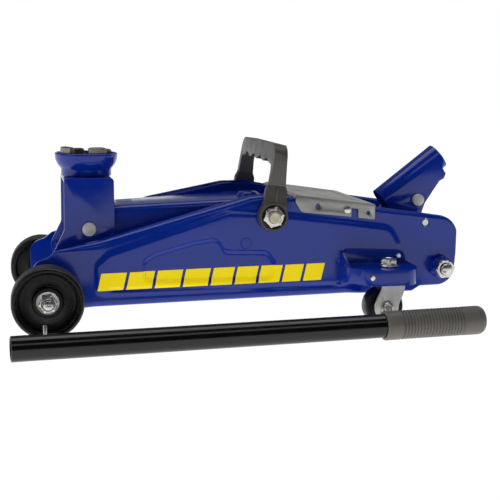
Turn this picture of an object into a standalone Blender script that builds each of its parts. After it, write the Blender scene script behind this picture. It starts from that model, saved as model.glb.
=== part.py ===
"""Hydraulic trolley jack, lowered, with its handle bar lying beside it.

Design frame: +X to the rear (handle socket), -X to the front (saddle), +Z up, floor at z = 0,
front axle above x = 0, mid-plane at y = 0.  Lengths below are millimetres, scaled once by MM.
The whole assembly hangs on one empty that moves the origin to the bottom centre of its box.
"""
import math

import bmesh
import bpy
from mathutils import Matrix, Vector

MM = 0.001
GAP = 0.3

# ---- driving dimensions ---------------------------------------------------------------------
WHEEL_RADIUS = 28.7
WHEEL_HALF_WIDTH = 11.25
WHEEL_Y = 84.65
AXLE_RADIUS = 4.0
AXLE = (0.0, WHEEL_RADIUS)

PLATE_OUT = 58.0
PLATE_THICK = 3.0
PLATE_IN = PLATE_OUT - PLATE_THICK

LIFT_PIVOT = (186.5, 91.8)
PIVOT_RADIUS = 5.0
SADDLE_PIN = (36.4, 78.9)
LINK_OFFSET = (-21.5, -23.0)
LINK_REAR = (LIFT_PIVOT[0] + LINK_OFFSET[0], LIFT_PIVOT[1] + LINK_OFFSET[1])
LINK_FRONT = (SADDLE_PIN[0] + LINK_OFFSET[0], SADDLE_PIN[1] + LINK_OFFSET[1])
LEVER_PIN = (205.2, 59.4)
RAM_Z = 57.0

ARM_HALF_FRONT = 26.5
ARM_SPREAD = 0.08
ARM_WALL = 4.0

BRACKET_OUT = 32.7
BRACKET_WALL = 3.5
CUP_X = 36.5
BRACKET_TOP = 121.2
CUP_RIM = 140.9
PAD_BASE = 132.2
LUG_TOP = 146.2
HANDLE_LEAN = 6.5

SOCKET_PIVOT = (324.6, 84.2)
PUMP_PIN = (334.4, 99.0)
SOCKET_MOUTH = (356.8, 138.0)
SOCKET_ANGLE = 38.0
SOCKET_RADIUS = 12.0
SOCKET_SHEET = 2.1
PLUNGER_X = 335.6

TIE_ROD = (339.0, 45.5)
CASTER_X = 284.5
CASTER_Y = 79.5
CASTER_TRAIL = 4.5
CASTER_RADIUS = 16.7
SHELF_TOP = 50.0

BAR_RADIUS = 9.65
BAR_START = (-29.0, -158.6)
BAR_ANGLE = 4.55
BAR_LENGTH = 292.0
GRIP_LENGTH = 88.0
GRIP_RADIUS = 11.9

# The box of the whole assembly, used only to centre the origin.
CENTRE_X = 167.21
CENTRE_Y = -33.33


# ---- materials ------------------------------------------------------------------------------
def material(name, colour, roughness, metallic=0.0):
    mat = bpy.data.materials.new(name)
    mat.use_nodes = True
    shader = mat.node_tree.nodes["Principled BSDF"]
    shader.inputs["Base Color"].default_value = (*colour, 1.0)
    shader.inputs["Roughness"].default_value = roughness
    shader.inputs["Metallic"].default_value = metallic
    mat.diffuse_color = (*colour, 1.0)
    return mat


def make_materials():
    return {
        "blue_paint": material("blue_paint", (0.006, 0.010, 0.190), 0.22),
        "zinc": material("zinc", (0.62, 0.62, 0.60), 0.32, 1.0),
        "dark_steel": material("dark_steel", (0.08, 0.08, 0.085), 0.38, 0.9),
        "cover_steel": material("cover_steel", (0.33, 0.34, 0.33), 0.45, 0.7),
        "cast_iron": material("cast_iron", (0.10, 0.10, 0.11), 0.65, 0.6),
        "black_wheel": material("black_wheel", (0.014, 0.014, 0.014), 0.5),
        "grey_plastic": material("grey_plastic", (0.075, 0.072, 0.068), 0.55),
        "black_enamel": material("black_enamel", (0.008, 0.008, 0.008), 0.2),
        "rubber": material("rubber", (0.02, 0.02, 0.02), 0.8),
    }


# ---- geometry helpers -----------------------------------------------------------------------
def arc(centre, radius, start, end, steps):
    """Points of an arc in degrees, both ends included."""
    points = []
    for i in range(steps + 1):
        a = math.radians(start + (end - start) * i / steps)
        points.append((centre[0] + radius * math.cos(a), centre[1] + radius * math.sin(a)))
    return points


def rounded(corners, steps=4):
    """Closed outline from (a, b, radius) corners, each corner turned by an arc."""
    outline = []
    count = len(corners)
    for i, (a, b, radius) in enumerate(corners):
        here = Vector((a, b))
        if radius <= 0.0:
            outline.append((a, b))
            continue
        before = (Vector(corners[i - 1][:2]) - here).normalized()
        after = (Vector(corners[(i + 1) % count][:2]) - here).normalized()
        half = before.angle(after) / 2.0
        if half > math.radians(88.5):
            outline.append((a, b))
            continue
        centre = here + (before + after).normalized() * (radius / math.sin(half))
        first = here + before * (radius / math.tan(half)) - centre
        last = here + after * (radius / math.tan(half)) - centre
        turn = first.angle_signed(last)
        for k in range(steps + 1):
            spin = Matrix.Rotation(-turn * k / steps, 2)
            outline.append(tuple(centre + spin @ first))
    return outline


def hexagon(centre, across_flats, turn=0.0):
    radius = across_flats / math.sqrt(3.0)
    return arc(centre, radius, turn, turn + 300.0, 5)


class Workshop:
    """Makes the named objects and hangs them on the assembly's empty."""

    def __init__(self):
        self.materials = make_materials()
        self.root = bpy.data.objects.new("assembly", None)
        self.root.location = (-CENTRE_X * MM, -CENTRE_Y * MM, 0.0)
        bpy.context.scene.collection.objects.link(self.root)

    def add(self, name, verts, faces, mat=None, pivot=(0.0, 0.0, 0.0), smooth=0.0):
        base = Vector(pivot)
        mesh = bpy.data.meshes.new(name)
        mesh.from_pydata([(Vector(v) - base) * MM for v in verts], [], faces)
        work = bmesh.new()
        work.from_mesh(mesh)
        bmesh.ops.recalc_face_normals(work, faces=work.faces)
        work.to_mesh(mesh)
        work.free()
        if mat:
            mesh.materials.append(self.materials[mat])
        if smooth:
            mesh.shade_smooth()
            mesh.set_sharp_from_angle(angle=math.radians(smooth))
        obj = bpy.data.objects.new(name, mesh)
        obj.location = base * MM
        obj.parent = self.root
        bpy.context.scene.collection.objects.link(obj)
        return obj

    def prism(self, name, outline, axis, low, high, mat=None, pivot=(0, 0, 0)):
        """Outline in the plane across the axis (XZ for Y, YZ for X, XY for Z), extruded."""
        place = {"X": lambda a, b, h: (h, a, b),
                 "Y": lambda a, b, h: (a, h, b),
                 "Z": lambda a, b, h: (a, b, h)}[axis]
        count = len(outline)
        verts = [place(a, b, low) for a, b in outline] + [place(a, b, high) for a, b in outline]
        faces = [tuple(range(count)), tuple(range(2 * count - 1, count - 1, -1))]
        for i in range(count):
            j = (i + 1) % count
            faces.append((i, j, count + j, count + i))
        return self.add(name, verts, faces, mat, pivot)

    def lathe(self, name, profile, axis, centre, steps, mat=None, pivot=None, smooth=35.0):
        """Turned body from (radius, height) points along the axis through centre."""
        place = {"X": lambda r, a, h: (h, r * math.cos(a), r * math.sin(a)),
                 "Y": lambda r, a, h: (r * math.sin(a), h, r * math.cos(a)),
                 "Z": lambda r, a, h: (r * math.cos(a), r * math.sin(a), h)}[axis]
        middle = Vector(centre)
        verts = []
        rings = []
        for radius, height in profile:
            if radius == 0.0:
                rings.append([len(verts)] * steps)
                verts.append(middle + Vector(place(0.0, 0.0, height)))
                continue
            rings.append(list(range(len(verts), len(verts) + steps)))
            for k in range(steps):
                turn = 2.0 * math.pi * (k + 0.5) / steps
                verts.append(middle + Vector(place(radius, turn, height)))
        faces = []
        on_axis = profile[0][0] == 0.0
        last = len(rings) - 1 if on_axis else len(rings)
        for i in range(last):
            lower, upper = rings[i], rings[(i + 1) % len(rings)]
            for k in range(steps):
                n = (k + 1) % steps
                corners = []
                for v in (lower[k], lower[n], upper[n], upper[k]):
                    if v not in corners:
                        corners.append(v)
                faces.append(tuple(corners))
        return self.add(name, verts, faces, mat, pivot or centre, smooth)

    def rod(self, name, axis, centre, radius, low, high, steps=16, mat=None, pivot=None):
        """Round bar with small chamfers between two heights along its axis."""
        c = min(0.6, radius * 0.2)
        profile = [(0.0, low), (radius - c, low), (radius, low + c),
                   (radius, high - c), (radius - c, high), (0.0, high)]
        return self.lathe(name, profile, axis, centre, steps, mat, pivot)

    def tube(self, name, axis, centre, inner, outer, low, high, steps=24, mat=None, pivot=None):
        profile = [(inner, low), (outer, low), (outer, high), (inner, high)]
        return self.lathe(name, profile, axis, centre, steps, mat, pivot)

    def combine(self, target, tool, operation="DIFFERENCE"):
        """Boolean of target with tool; the tool becomes a hidden guide."""
        tool.hide_render = True
        tool.display_type = "WIRE"
        step = target.modifiers.new(operation.lower(), "BOOLEAN")
        step.operation = operation
        step.solver = "EXACT"
        step.object = tool
        return target

    def drill(self, target, axis, centre, radius, low, high, steps=16):
        hole = self.lathe(target.name + "_hole", [(0.0, low), (radius, low), (radius, high),
                                                  (0.0, high)], axis, centre, steps)
        return self.combine(target, hole)


def sides():
    """The two mirrored sides: the camera-side plate is the jack's left."""
    return (("left", -1.0), ("right", 1.0))


def span(sign, near, far):
    """Low and high y of a stretch given as distances from the mid-plane."""
    return (min(sign * near, sign * far), max(sign * near, sign * far))


# ---- frame ----------------------------------------------------------------------------------
def plate_outline(side):
    """Outline of a side plate; the right one stands higher ahead of the lift pivot."""
    crest = {"left": [(43.4, 72.1, 30.0), (169.0, 108.0, 14.0), (189.5, 110.3, 20.0)],
             "right": [(43.4, 77.5, 30.0), (94.0, 97.4, 30.0), (163.0, 111.6, 20.0),
                       (187.0, 111.8, 20.0)]}[side]
    corners = [
        (-11.0, 17.0, 13.0), (-11.5, 55.0, 12.0), (2.0, 59.3, 3.0), (8.0, 64.5, 3.0),
        *crest, (208.0, 107.8, 20.0), (355.2, 87.9, 18.0), (354.5, 60.0, 30.0),
        (351.5, 29.2, 15.0),
        (322.0, 28.2, 3.0), (315.0, 23.8, 3.0), (258.0, 22.9, 0.0), (35.0, 16.8, 0.0),
        (12.0, 16.2, 0.0),
    ]
    return rounded(corners)


def side_plate(shop, side, sign):
    low, high = span(sign, PLATE_IN, PLATE_OUT)
    plate = shop.prism(f"side_plate_{side}", plate_outline(side), "Y", low, high, "blue_paint")
    low, high = span(sign, PLATE_IN - 10.0, PLATE_IN + 0.5)
    foot = [(42.0, 17.1), (256.0, 22.9), (256.0, 25.9), (42.0, 20.1)]
    shop.combine(plate, shop.prism("plate_foot_guide", foot, "Y", low, high), "UNION")
    low, high = span(sign, PLATE_IN - 4.0, PLATE_OUT + 4.0)
    for point, radius in ((AXLE, AXLE_RADIUS + GAP), (LINK_REAR, 4.0 + GAP),
                          (LIFT_PIVOT, PIVOT_RADIUS + GAP), (SOCKET_PIVOT, 3.25 + GAP),
                          (TIE_ROD, 5.0 + GAP), ((252.8, 96.0), 2.0 + GAP)):
        shop.drill(plate, "Y", (point[0], 0.0, point[1]), radius, low, high)


def hex_nut(shop, name, centre, across, bore, low, high, mat="zinc", turn=0.0):
    nut = shop.prism(name, hexagon(centre, across, turn), "Y", low, high, mat)
    return shop.drill(nut, "Y", (centre[0], 0.0, centre[1]), bore, low - 1.0, high + 1.0)


def front_axle(shop):
    shop.rod("front_axle", "Y", (AXLE[0], 0.0, AXLE[1]), AXLE_RADIUS, -101.5, 101.5, 16, "zinc")
    for side, sign in sides():
        low, high = span(sign, 88.95, 90.75)
        shop.tube(f"axle_washer_{side}", "Y", (0, 0, AXLE[1]), AXLE_RADIUS + GAP, 9.3,
                  low, high, 24, "zinc")
        low, high = span(sign, 91.05, 97.4)
        hex_nut(shop, f"axle_nut_{side}", AXLE, 13.0, AXLE_RADIUS + GAP, low, high, turn=8.0)


def rear_tie(shop):
    shop.rod("rear_tie_rod", "Y", (TIE_ROD[0], 0, TIE_ROD[1]), 5.0, -77.0, 77.0, 16, "zinc")
    for side, sign in sides():
        low, high = span(sign, PLATE_OUT + GAP, 65.5)
        hex_nut(shop, f"rear_lock_nut_{side}", TIE_ROD, 18.0, 5.0 + GAP, low, high,
                "blue_paint", 20.0)
        low, high = span(sign, 65.8, 73.6)
        hex_nut(shop, f"rear_tie_nut_{side}", TIE_ROD, 15.0, 5.0 + GAP, low, high, turn=5.0)


def cover_plate(shop):
    outer = rounded([(212.5, 94.4, 5.0), (206.4, 104.0, 4.0), (208.4, 109.6, 1.2),
                     (277.8, 100.6, 0.8), (277.8, 87.4, 1.0)])
    cover = shop.prism("cover_plate", outer, "Y", -59.9, 59.9, "cover_steel")
    inner = [(190.0, 80.0), (190.0, 110.6), (209.0, 108.1), (290.0, 97.53), (290.0, 80.0)]
    shop.combine(cover, shop.prism("cover_inside", inner, "Y", -58.3, 58.3))
    shop.drill(cover, "Y", (252.8, 0, 96.0), 2.0 + GAP, -70.0, 70.0, 12)
    shop.drill(cover, "Y", (227.6, 0, 99.2), 1.9, -70.0, 70.0, 12)
    shop.drill(cover, "Y", (271.6, 0, 93.4), 1.9, -70.0, 70.0, 12)
    shop.drill(cover, "Z", (243.5, 0, 0), 2.0, 95.0, 115.0, 12)
    notch = [(256.6, 80.0), (256.6, 97.0), (262.8, 97.0), (262.8, 80.0)]
    shop.combine(cover, shop.prism("cover_notch", notch, "Y", -70.0, 70.0))
    for side, sign in sides():
        profile = [(0.0, 50.0), (2.0, 50.0), (2.0, 60.2), (3.2, 60.2), (3.2, 61.0),
                   (2.2, 61.6), (0.0, 61.6)]
        profile = [(r, sign * h) for r, h in profile]
        shop.lathe(f"cover_screw_{side}", profile, "Y", (252.8, 0, 96.0), 12, "zinc")


def caster_bracket(shop, side, sign):
    def plan(points):
        return [(x, sign * y, r) for x, y, r in points]
    shelf = plan([(245.5, PLATE_OUT + GAP, 0), (249.0, 80.0, 14.0), (262.0, 100.2, 19.0),
                  (301.0, 100.2, 15.0), (309.5, 82.0, 12.0), (310.5, PLATE_OUT + GAP, 0)])
    bracket = shop.prism(f"caster_bracket_{side}", rounded(shelf, 5), "Z", 37.0, SHELF_TOP,
                         "blue_paint")
    hollow = plan([(243.0, 40.0, 0), (248.2, PLATE_OUT + 3.3, 0), (251.8, 79.5, 11.5),
                   (263.5, 97.6, 16.5), (299.5, 97.6, 13.0), (306.9, 81.5, 10.0),
                   (307.8, PLATE_OUT + 3.3, 0), (312.0, 40.0, 0)])
    flange = rounded([(247.0, 33.0, 4.0), (249.0, 63.0, 6.0), (305.0, 61.0, 6.0),
                      (309.0, 33.0, 4.0)])
    low, high = span(sign, PLATE_OUT + GAP, PLATE_OUT + 3.3)
    shop.combine(bracket, shop.prism("bracket_flange_guide", flange, "Y", low, high), "UNION")
    inside = [p for p in rounded(hollow, 5) if abs(p[1]) > PLATE_OUT + 3.2]
    shop.combine(bracket, shop.prism("bracket_inside", inside, "Z", 20.0, SHELF_TOP - 3.0))
    shop.drill(bracket, "Z", (CASTER_X, sign * CASTER_Y, 0), 4.0 + GAP, 40.0, 60.0)

    centre = (CASTER_X, sign * CASTER_Y, 0.0)
    bolt = shop.lathe(f"caster_bolt_{side}", [(0.0, 39.4), (6.0, 39.4), (6.0, 42.4), (4.0, 42.4),
                                              (4.0, 50.3), (8.0, 50.3), (8.0, 51.6), (0.0, 51.6)],
                      "Z", centre, 16, "zinc")
    head = hexagon((CASTER_X, sign * CASTER_Y), 13.0, 12.0)
    shop.combine(bolt, shop.prism("caster_bolt_head", head, "Z", 51.0, 57.0), "UNION")


def caster(shop, side, sign):
    axle_x = CASTER_X - CASTER_TRAIL
    pivot = (CASTER_X, sign * CASTER_Y, 40.0)
    leg = rounded([(CASTER_X - 11.0, 46.7, 2.0), (CASTER_X + 11.0, 46.7, 2.0),
                   (CASTER_X + 10.0, 33.0, 14.0), (axle_x + 8.6, 9.6, 7.0),
                   (axle_x - 8.6, 9.6, 7.0), (CASTER_X - 9.5, 33.0, 14.0)])
    mid = sign * CASTER_Y
    fork = shop.prism(f"caster_fork_{side}", leg, "Y", mid - 12.7, mid + 12.7, "zinc", pivot)
    gap = [(mid - 10.3, 0.0), (mid - 10.3, 43.7), (mid + 10.3, 43.7), (mid + 10.3, 0.0)]
    shop.combine(fork, shop.prism("fork_gap", gap, "X", CASTER_X - 30.0, CASTER_X + 30.0))
    shop.drill(fork, "Y", (axle_x, 0, CASTER_RADIUS), 3.0 + GAP, mid - 20.0, mid + 20.0)
    shop.drill(fork, "Z", (CASTER_X, mid, 0), 4.0 + GAP, 40.0, 60.0)

    profile = [(0.0, -15.0), (4.6, -15.0), (5.4, -14.4), (5.4, -13.0), (3.0, -13.0),
               (3.0, 13.0), (5.4, 13.0), (5.4, 14.4), (4.6, 15.0), (0.0, 15.0)]
    shop.lathe(f"caster_axle_{side}", profile, "Y", (axle_x, mid, CASTER_RADIUS), 12, "zinc")
    r = CASTER_RADIUS
    tread = [(3.3, -9.8), (6.0, -9.8), (6.0, -5.6), (r - 4.5, -5.6), (r - 3.2, -7.5),
             (r - 1.2, -7.5), (r, -5.6), (r, 5.6), (r - 1.2, 7.5), (r - 3.2, 7.5),
             (r - 4.5, 5.6), (6.0, 5.6), (6.0, 9.8), (3.3, 9.8)]
    shop.lathe(f"caster_wheel_{side}", tread, "Y", (axle_x, mid, CASTER_RADIUS), 20,
               "black_wheel")


def front_wheel(shop, side, sign):
    r = WHEEL_RADIUS
    profile = [(AXLE_RADIUS + GAP, 4.0), (11.8, 4.0), (12.4, 1.2), (21.6, 1.2), (23.6, 9.2),
               (24.4, 11.25), (26.4, 11.25), (28.2, 9.8), (r, 7.4), (r, -8.4), (27.4, -11.25),
               (24.6, -11.25), (23.0, -4.0), (12.4, -4.0), (11.6, -11.25), (9.0, -12.0),
               (9.0, -26.0), (AXLE_RADIUS + GAP, -26.0)]
    profile = [(radius, sign * height) for radius, height in profile]
    shop.lathe(f"front_wheel_{side}", profile, "Y", (0.0, sign * WHEEL_Y, AXLE[1]), 34,
               "black_wheel")


# ---- lifting gear ---------------------------------------------------------------------------
def arm_half_width(x):
    return ARM_HALF_FRONT + ARM_SPREAD * (x - SADDLE_PIN[0])


def tapered_prism(shop, name, outline, inset, mat, pivot):
    """Prism in Y whose half width grows evenly along X."""
    count = len(outline)
    verts = [(a, -(arm_half_width(a) - inset), b) for a, b in outline]
    verts += [(a, arm_half_width(a) - inset, b) for a, b in outline]
    faces = [tuple(range(count)), tuple(range(2 * count - 1, count - 1, -1))]
    for i in range(count):
        j = (i + 1) % count
        faces.append((i, j, count + j, count + i))
    return shop.add(name, verts, faces, mat, pivot)


def lift_arm(shop):
    pivot = (LIFT_PIVOT[0], 0.0, LIFT_PIVOT[1])
    lever_x, lever_z = LEVER_PIN
    corners = [(25.0, 69.0, 9.0), (25.0, 96.0, 9.0), (58.0, 97.4, 0.0), (150.0, 102.6, 30.0),
               (190.0, 104.6, 8.0), (203.0, 97.0, 9.0), (lever_x + 10.5, lever_z + 6.0, 8.0),
               (lever_x + 9.0, lever_z - 10.0, 8.0), (lever_x - 9.5, lever_z - 10.0, 8.0),
               (172.0, 76.0, 16.0), (60.0, 68.5, 20.0)]
    arm = tapered_prism(shop, "lift_arm", rounded(corners, 3), 0.0, "blue_paint", pivot)
    below = [(0.0, 20.0), (0.0, 92.2), (58.0, 93.4), (150.0, 98.6), (186.0, 100.5),
             (240.0, 100.5), (240.0, 20.0)]
    shop.combine(arm, tapered_prism(shop, "arm_inside", below, ARM_WALL, None, pivot))
    boss = shop.lathe("arm_boss_guide", [(0.0, 100.0), (9.5, 100.0), (9.5, 106.4), (7.6, 108.2),
                                         (0.0, 108.2)], "Z", (176.0, -14.0, 0.0), 16)
    shop.combine(arm, boss, "UNION")
    for point, radius in ((SADDLE_PIN, 5.0), (LIFT_PIVOT, PIVOT_RADIUS), (LEVER_PIN, 5.0)):
        shop.drill(arm, "Y", (point[0], 0, point[1]), radius + GAP, -60.0, 60.0)

    half = arm_half_width(lever_x) - 0.5
    shop.rod("lever_pin", "Y", (lever_x, 0, lever_z), 5.0, -half, half, 16, "dark_steel")
    shop.rod("lift_pivot_bolt", "Y", (LIFT_PIVOT[0], 0, LIFT_PIVOT[1]), PIVOT_RADIUS,
             -72.8, 72.8, 16, "zinc")
    for side, sign in sides():
        low, high = span(sign, 39.8, PLATE_IN - GAP)
        shop.tube(f"pivot_bush_{side}", "Y", pivot, PIVOT_RADIUS + GAP, 9.0, low, high, 16,
                  "dark_steel")


def saddle_bracket(shop):
    pin_x, pin_z = SADDLE_PIN
    ear_x, ear_z = LINK_FRONT
    pivot = (pin_x, 0.0, pin_z)
    corners = [(16.0, BRACKET_TOP, 2.5), (57.2, BRACKET_TOP, 2.5), (57.8, 76.0, 10.0),
               (46.0, 66.0, 9.0),
               (ear_x + 12.0, ear_z - 7.0, 8.0), (ear_x - 6.5, ear_z - 8.5, 7.0),
               (ear_x - 8.2, ear_z + 3.0, 5.0), (16.0, 78.0, 8.0)]
    outline = rounded(corners)
    bracket = shop.prism("saddle_bracket", outline, "Y", -BRACKET_OUT, BRACKET_OUT,
                         "blue_paint", pivot)
    inner = BRACKET_OUT - BRACKET_WALL
    ceiling = BRACKET_TOP - BRACKET_WALL
    inside = [(-20.0, 20.0), (-20.0, ceiling), (80.0, ceiling), (80.0, 20.0)]
    shop.combine(bracket, shop.prism("bracket_core", inside, "Y", -inner, inner))
    for point, radius in ((SADDLE_PIN, 5.0), (LINK_FRONT, 4.0)):
        shop.drill(bracket, "Y", (point[0], 0, point[1]), radius + GAP, -60.0, 60.0)

    head = BRACKET_OUT + GAP
    profile = [(0.0, -head - 2.6), (4.6, -head - 2.6), (5.8, -head - 1.8), (5.8, -head),
               (5.0, -head), (5.0, head), (5.8, head), (5.8, head + 1.8), (4.6, head + 2.6),
               (0.0, head + 2.6)]
    shop.lathe("saddle_pin", profile, "Y", (pin_x, 0, pin_z), 20, "zinc")
    shop.rod("link_pin", "Y", (ear_x, 0, ear_z), 4.0, -47.5, 47.5, 14, "zinc")

    floor = BRACKET_TOP + GAP
    cup = [(6.0, floor), (21.3, floor), (21.5, floor + 5.6), (23.2, floor + 7.6),
           (25.7, floor + 12.4), (26.5, floor + 15.6), (26.6, CUP_RIM - 0.8),
           (25.8, CUP_RIM), (24.4, CUP_RIM - 0.2), (23.6, CUP_RIM - 2.4),
           (22.8, floor + 10.0), (6.0, floor + 8.8)]
    shop.lathe("saddle_cup", cup, "Z", (CUP_X, 0.0, 0.0), 32, "blue_paint")


def saddle(shop):
    base = PAD_BASE
    profile = [(0.0, base - 4.4), (5.4, base - 4.4), (5.4, base), (20.4, base),
               (22.2, base + 3.5), (22.6, base + 5.5), (19.8, base + 6.5),
               (18.4, base + 3.0), (0.0, base + 3.0)]
    disc = shop.lathe("saddle", profile, "Z", (CUP_X, 0.0, 0.0), 28, "dark_steel",
                      (CUP_X, 0.0, base))
    for k, drop in enumerate((2.6, 2.6, 0.0, 0.0)):
        a = 25.0 + 90.0 * k
        lug = arc((0, 0), 16.0, a - 22.0, a + 22.0, 5) + arc((0, 0), 22.0, a + 21.0, a - 21.0, 5)
        lug = [(CUP_X + x, y) for x, y in lug]
        tool = shop.prism(f"saddle_lug_{k}", lug, "Z", base + 1.0, LUG_TOP - drop)
        shop.combine(disc, tool, "UNION")


def links(shop):
    front_x, front_z = LINK_FRONT
    rear_x, rear_z = LINK_REAR
    slope = math.degrees(math.atan2(rear_z - front_z, rear_x - front_x))
    outline = arc(LINK_REAR, 7.0, slope - 90.0, slope + 90.0, 7)
    outline += arc(LINK_FRONT, 7.0, slope + 90.0, slope + 270.0, 7)
    for side, sign in sides():
        low, high = span(sign, 42.0, 46.0)
        link = shop.prism(f"radius_link_{side}", outline, "Y", low, high, "dark_steel",
                          (rear_x, 0.0, rear_z))
        for point in (LINK_REAR, LINK_FRONT):
            shop.drill(link, "Y", (point[0], 0, point[1]), 4.0 + GAP, -60.0, 60.0, 14)
        low, high = span(sign, 41.0, PLATE_OUT + 0.1)
        shop.rod(f"link_stud_{side}", "Y", (rear_x, 0, rear_z), 4.0, low, high, 14, "blue_paint")


# ---- hydraulic unit -------------------------------------------------------------------------
def hydraulic_unit(shop):
    block = shop.prism("pump_block", rounded([(296.3, 33.0, 4.0), (296.3, 73.0, 3.0),
                                              (350.0, 73.0, 3.0), (350.0, 33.0, 4.0)], 2),
                       "Y", -28.0, 28.0, "cast_iron")
    boss = shop.lathe("plunger_boss", [(0.0, 70.0), (8.2, 70.0), (8.2, 80.0), (0.0, 80.0)],
                      "Z", (PLUNGER_X, 0, 0), 16)
    shop.drill(block, "X", (0, 15.0, 57.0), 4.0 + GAP, 328.0, 360.0, 12)
    shop.drill(block, "Y", (TIE_ROD[0], 0, TIE_ROD[1]), 5.0 + GAP, -40.0, 40.0)
    shop.combine(block, boss, "UNION")
    shop.drill(block, "Z", (PLUNGER_X, 0, 0), 5.0 + GAP, 55.5, 90.0)

    shop.tube("reservoir_shell", "X", (0, 0, RAM_Z), 23.8, 26.0, 230.0, 296.0, 32, "blue_paint")
    shell = bpy.data.objects["reservoir_shell"]
    shop.drill(shell, "Z", (262.0, 0, 0), 4.0 + GAP, 70.0, 95.0, 12)
    cylinder = [(12.6, 228.0), (17.0, 228.0), (17.0, 231.0), (23.5, 231.0), (23.5, 239.0),
                (17.0, 239.0), (17.0, 296.0), (12.6, 296.0)]
    shop.lathe("ram_cylinder", cylinder, "X", (0, 0, RAM_Z), 24, "dark_steel")
    plug = [(0.0, 78.6), (4.0, 78.6), (4.0, 83.3), (6.0, 83.3), (6.0, 86.4), (0.0, 87.0)]
    shop.lathe("filler_plug", plug, "Z", (262.0, 0, 0), 14, "rubber")

    head_x = LEVER_PIN[0]
    ram = shop.prism("ram", rounded([(head_x - 11.5, 43.0, 3.0), (head_x - 11.5, 71.0, 3.0),
                                     (head_x + 12.5, 71.0, 3.0), (head_x + 12.5, 43.0, 3.0)], 2),
                     "Y", -12.0, 12.0, "zinc", (head_x, 0.0, RAM_Z))
    stem = shop.lathe("ram_stem", [(0.0, 216.0), (9.0, 216.0), (9.0, 262.0), (12.3, 262.0),
                                   (12.3, 270.0), (0.0, 270.0)], "X", (0, 0, RAM_Z), 20)
    shop.combine(ram, stem, "UNION")
    slot = rounded([(head_x - 6.0, 48.0, 5.5), (head_x - 6.0, 66.0, 5.5),
                    (head_x + 6.0, 66.0, 5.5), (head_x + 6.0, 48.0, 5.5)])
    shop.combine(ram, shop.prism("ram_slot", slot, "Y", -20.0, 20.0))

    top = 90.9
    plunger = [(0.0, 60.0), (5.0, 60.0), (5.0, top - 1.6), (6.6, top - 1.6), (6.6, top - 0.4),
               (6.0, top), (0.0, top)]
    shop.lathe("pump_plunger", plunger, "Z", (PLUNGER_X, 0, 0), 16, "zinc")
    valve = [(0.0, 332.0), (4.0, 332.0), (4.0, 350.3), (6.5, 350.3), (6.5, 353.5), (3.4, 353.5),
             (3.4, 359.0), (0.0, 359.0)]
    valve = shop.lathe("release_valve", valve, "X", (0, 15.0, 57.0), 12, "zinc")
    slot = [(14.2, 50.0), (14.2, 64.0), (15.8, 64.0), (15.8, 50.0)]
    shop.combine(valve, shop.prism("valve_slot", slot, "X", 355.5, 362.0))


def coil(shop, name, centre, radius, wire, low, high, turns, mat, steps=10, facets=5):
    """Upright helical wire."""
    count = int(turns * steps) + 1
    path = []
    for i in range(count):
        a = 2.0 * math.pi * i / steps
        h = low + wire + (high - low - 2.0 * wire) * i / (count - 1)
        path.append(Vector((radius * math.cos(a), radius * math.sin(a), h)))
    verts = []
    middle = Vector(centre)
    forward = Vector((0.0, 0.0, 1.0))
    for i, point in enumerate(path):
        out = (point - forward * point.dot(forward)).normalized()
        for k in range(facets):
            b = 2.0 * math.pi * k / facets
            verts.append(middle + point + out * (wire * math.cos(b)) + forward * (wire * math.sin(b)))
    faces = [tuple(range(facets)), tuple(range(len(verts) - 1, len(verts) - 1 - facets, -1))]
    for i in range(count - 1):
        for k in range(facets):
            n = (k + 1) % facets
            faces.append((i * facets + k, i * facets + n, (i + 1) * facets + n,
                          (i + 1) * facets + k))
    return shop.add(name, verts, faces, mat, centre, 40.0)


def springs(shop):
    coil(shop, "plunger_spring", (PLUNGER_X, 0, 0), 6.6, 0.6, 80.3, 89.0, 3, "dark_steel")


# ---- handle socket, carry handle, handle bar --------------------------------------------------
def along_socket(distance, side_step):
    """Point at a distance back from the mouth and a step square to the socket's axis."""
    a = math.radians(SOCKET_ANGLE)
    return (SOCKET_MOUTH[0] - distance * math.cos(a) - side_step * math.sin(a),
            SOCKET_MOUTH[1] - distance * math.sin(a) + side_step * math.cos(a))


def swept(shop, name, section, near, far, mat, pivot):
    """Section (y, step) swept along the socket's axis between two distances from the mouth."""
    count = len(section)
    verts = []
    for distance in (near, far):
        for y, step in section:
            x, z = along_socket(distance, step)
            verts.append((x, y, z))
    faces = [tuple(range(count)), tuple(range(2 * count - 1, count - 1, -1))]
    for i in range(count):
        j = (i + 1) % count
        faces.append((i, j, count + j, count + i))
    return shop.add(name, verts, faces, mat, pivot)


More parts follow.
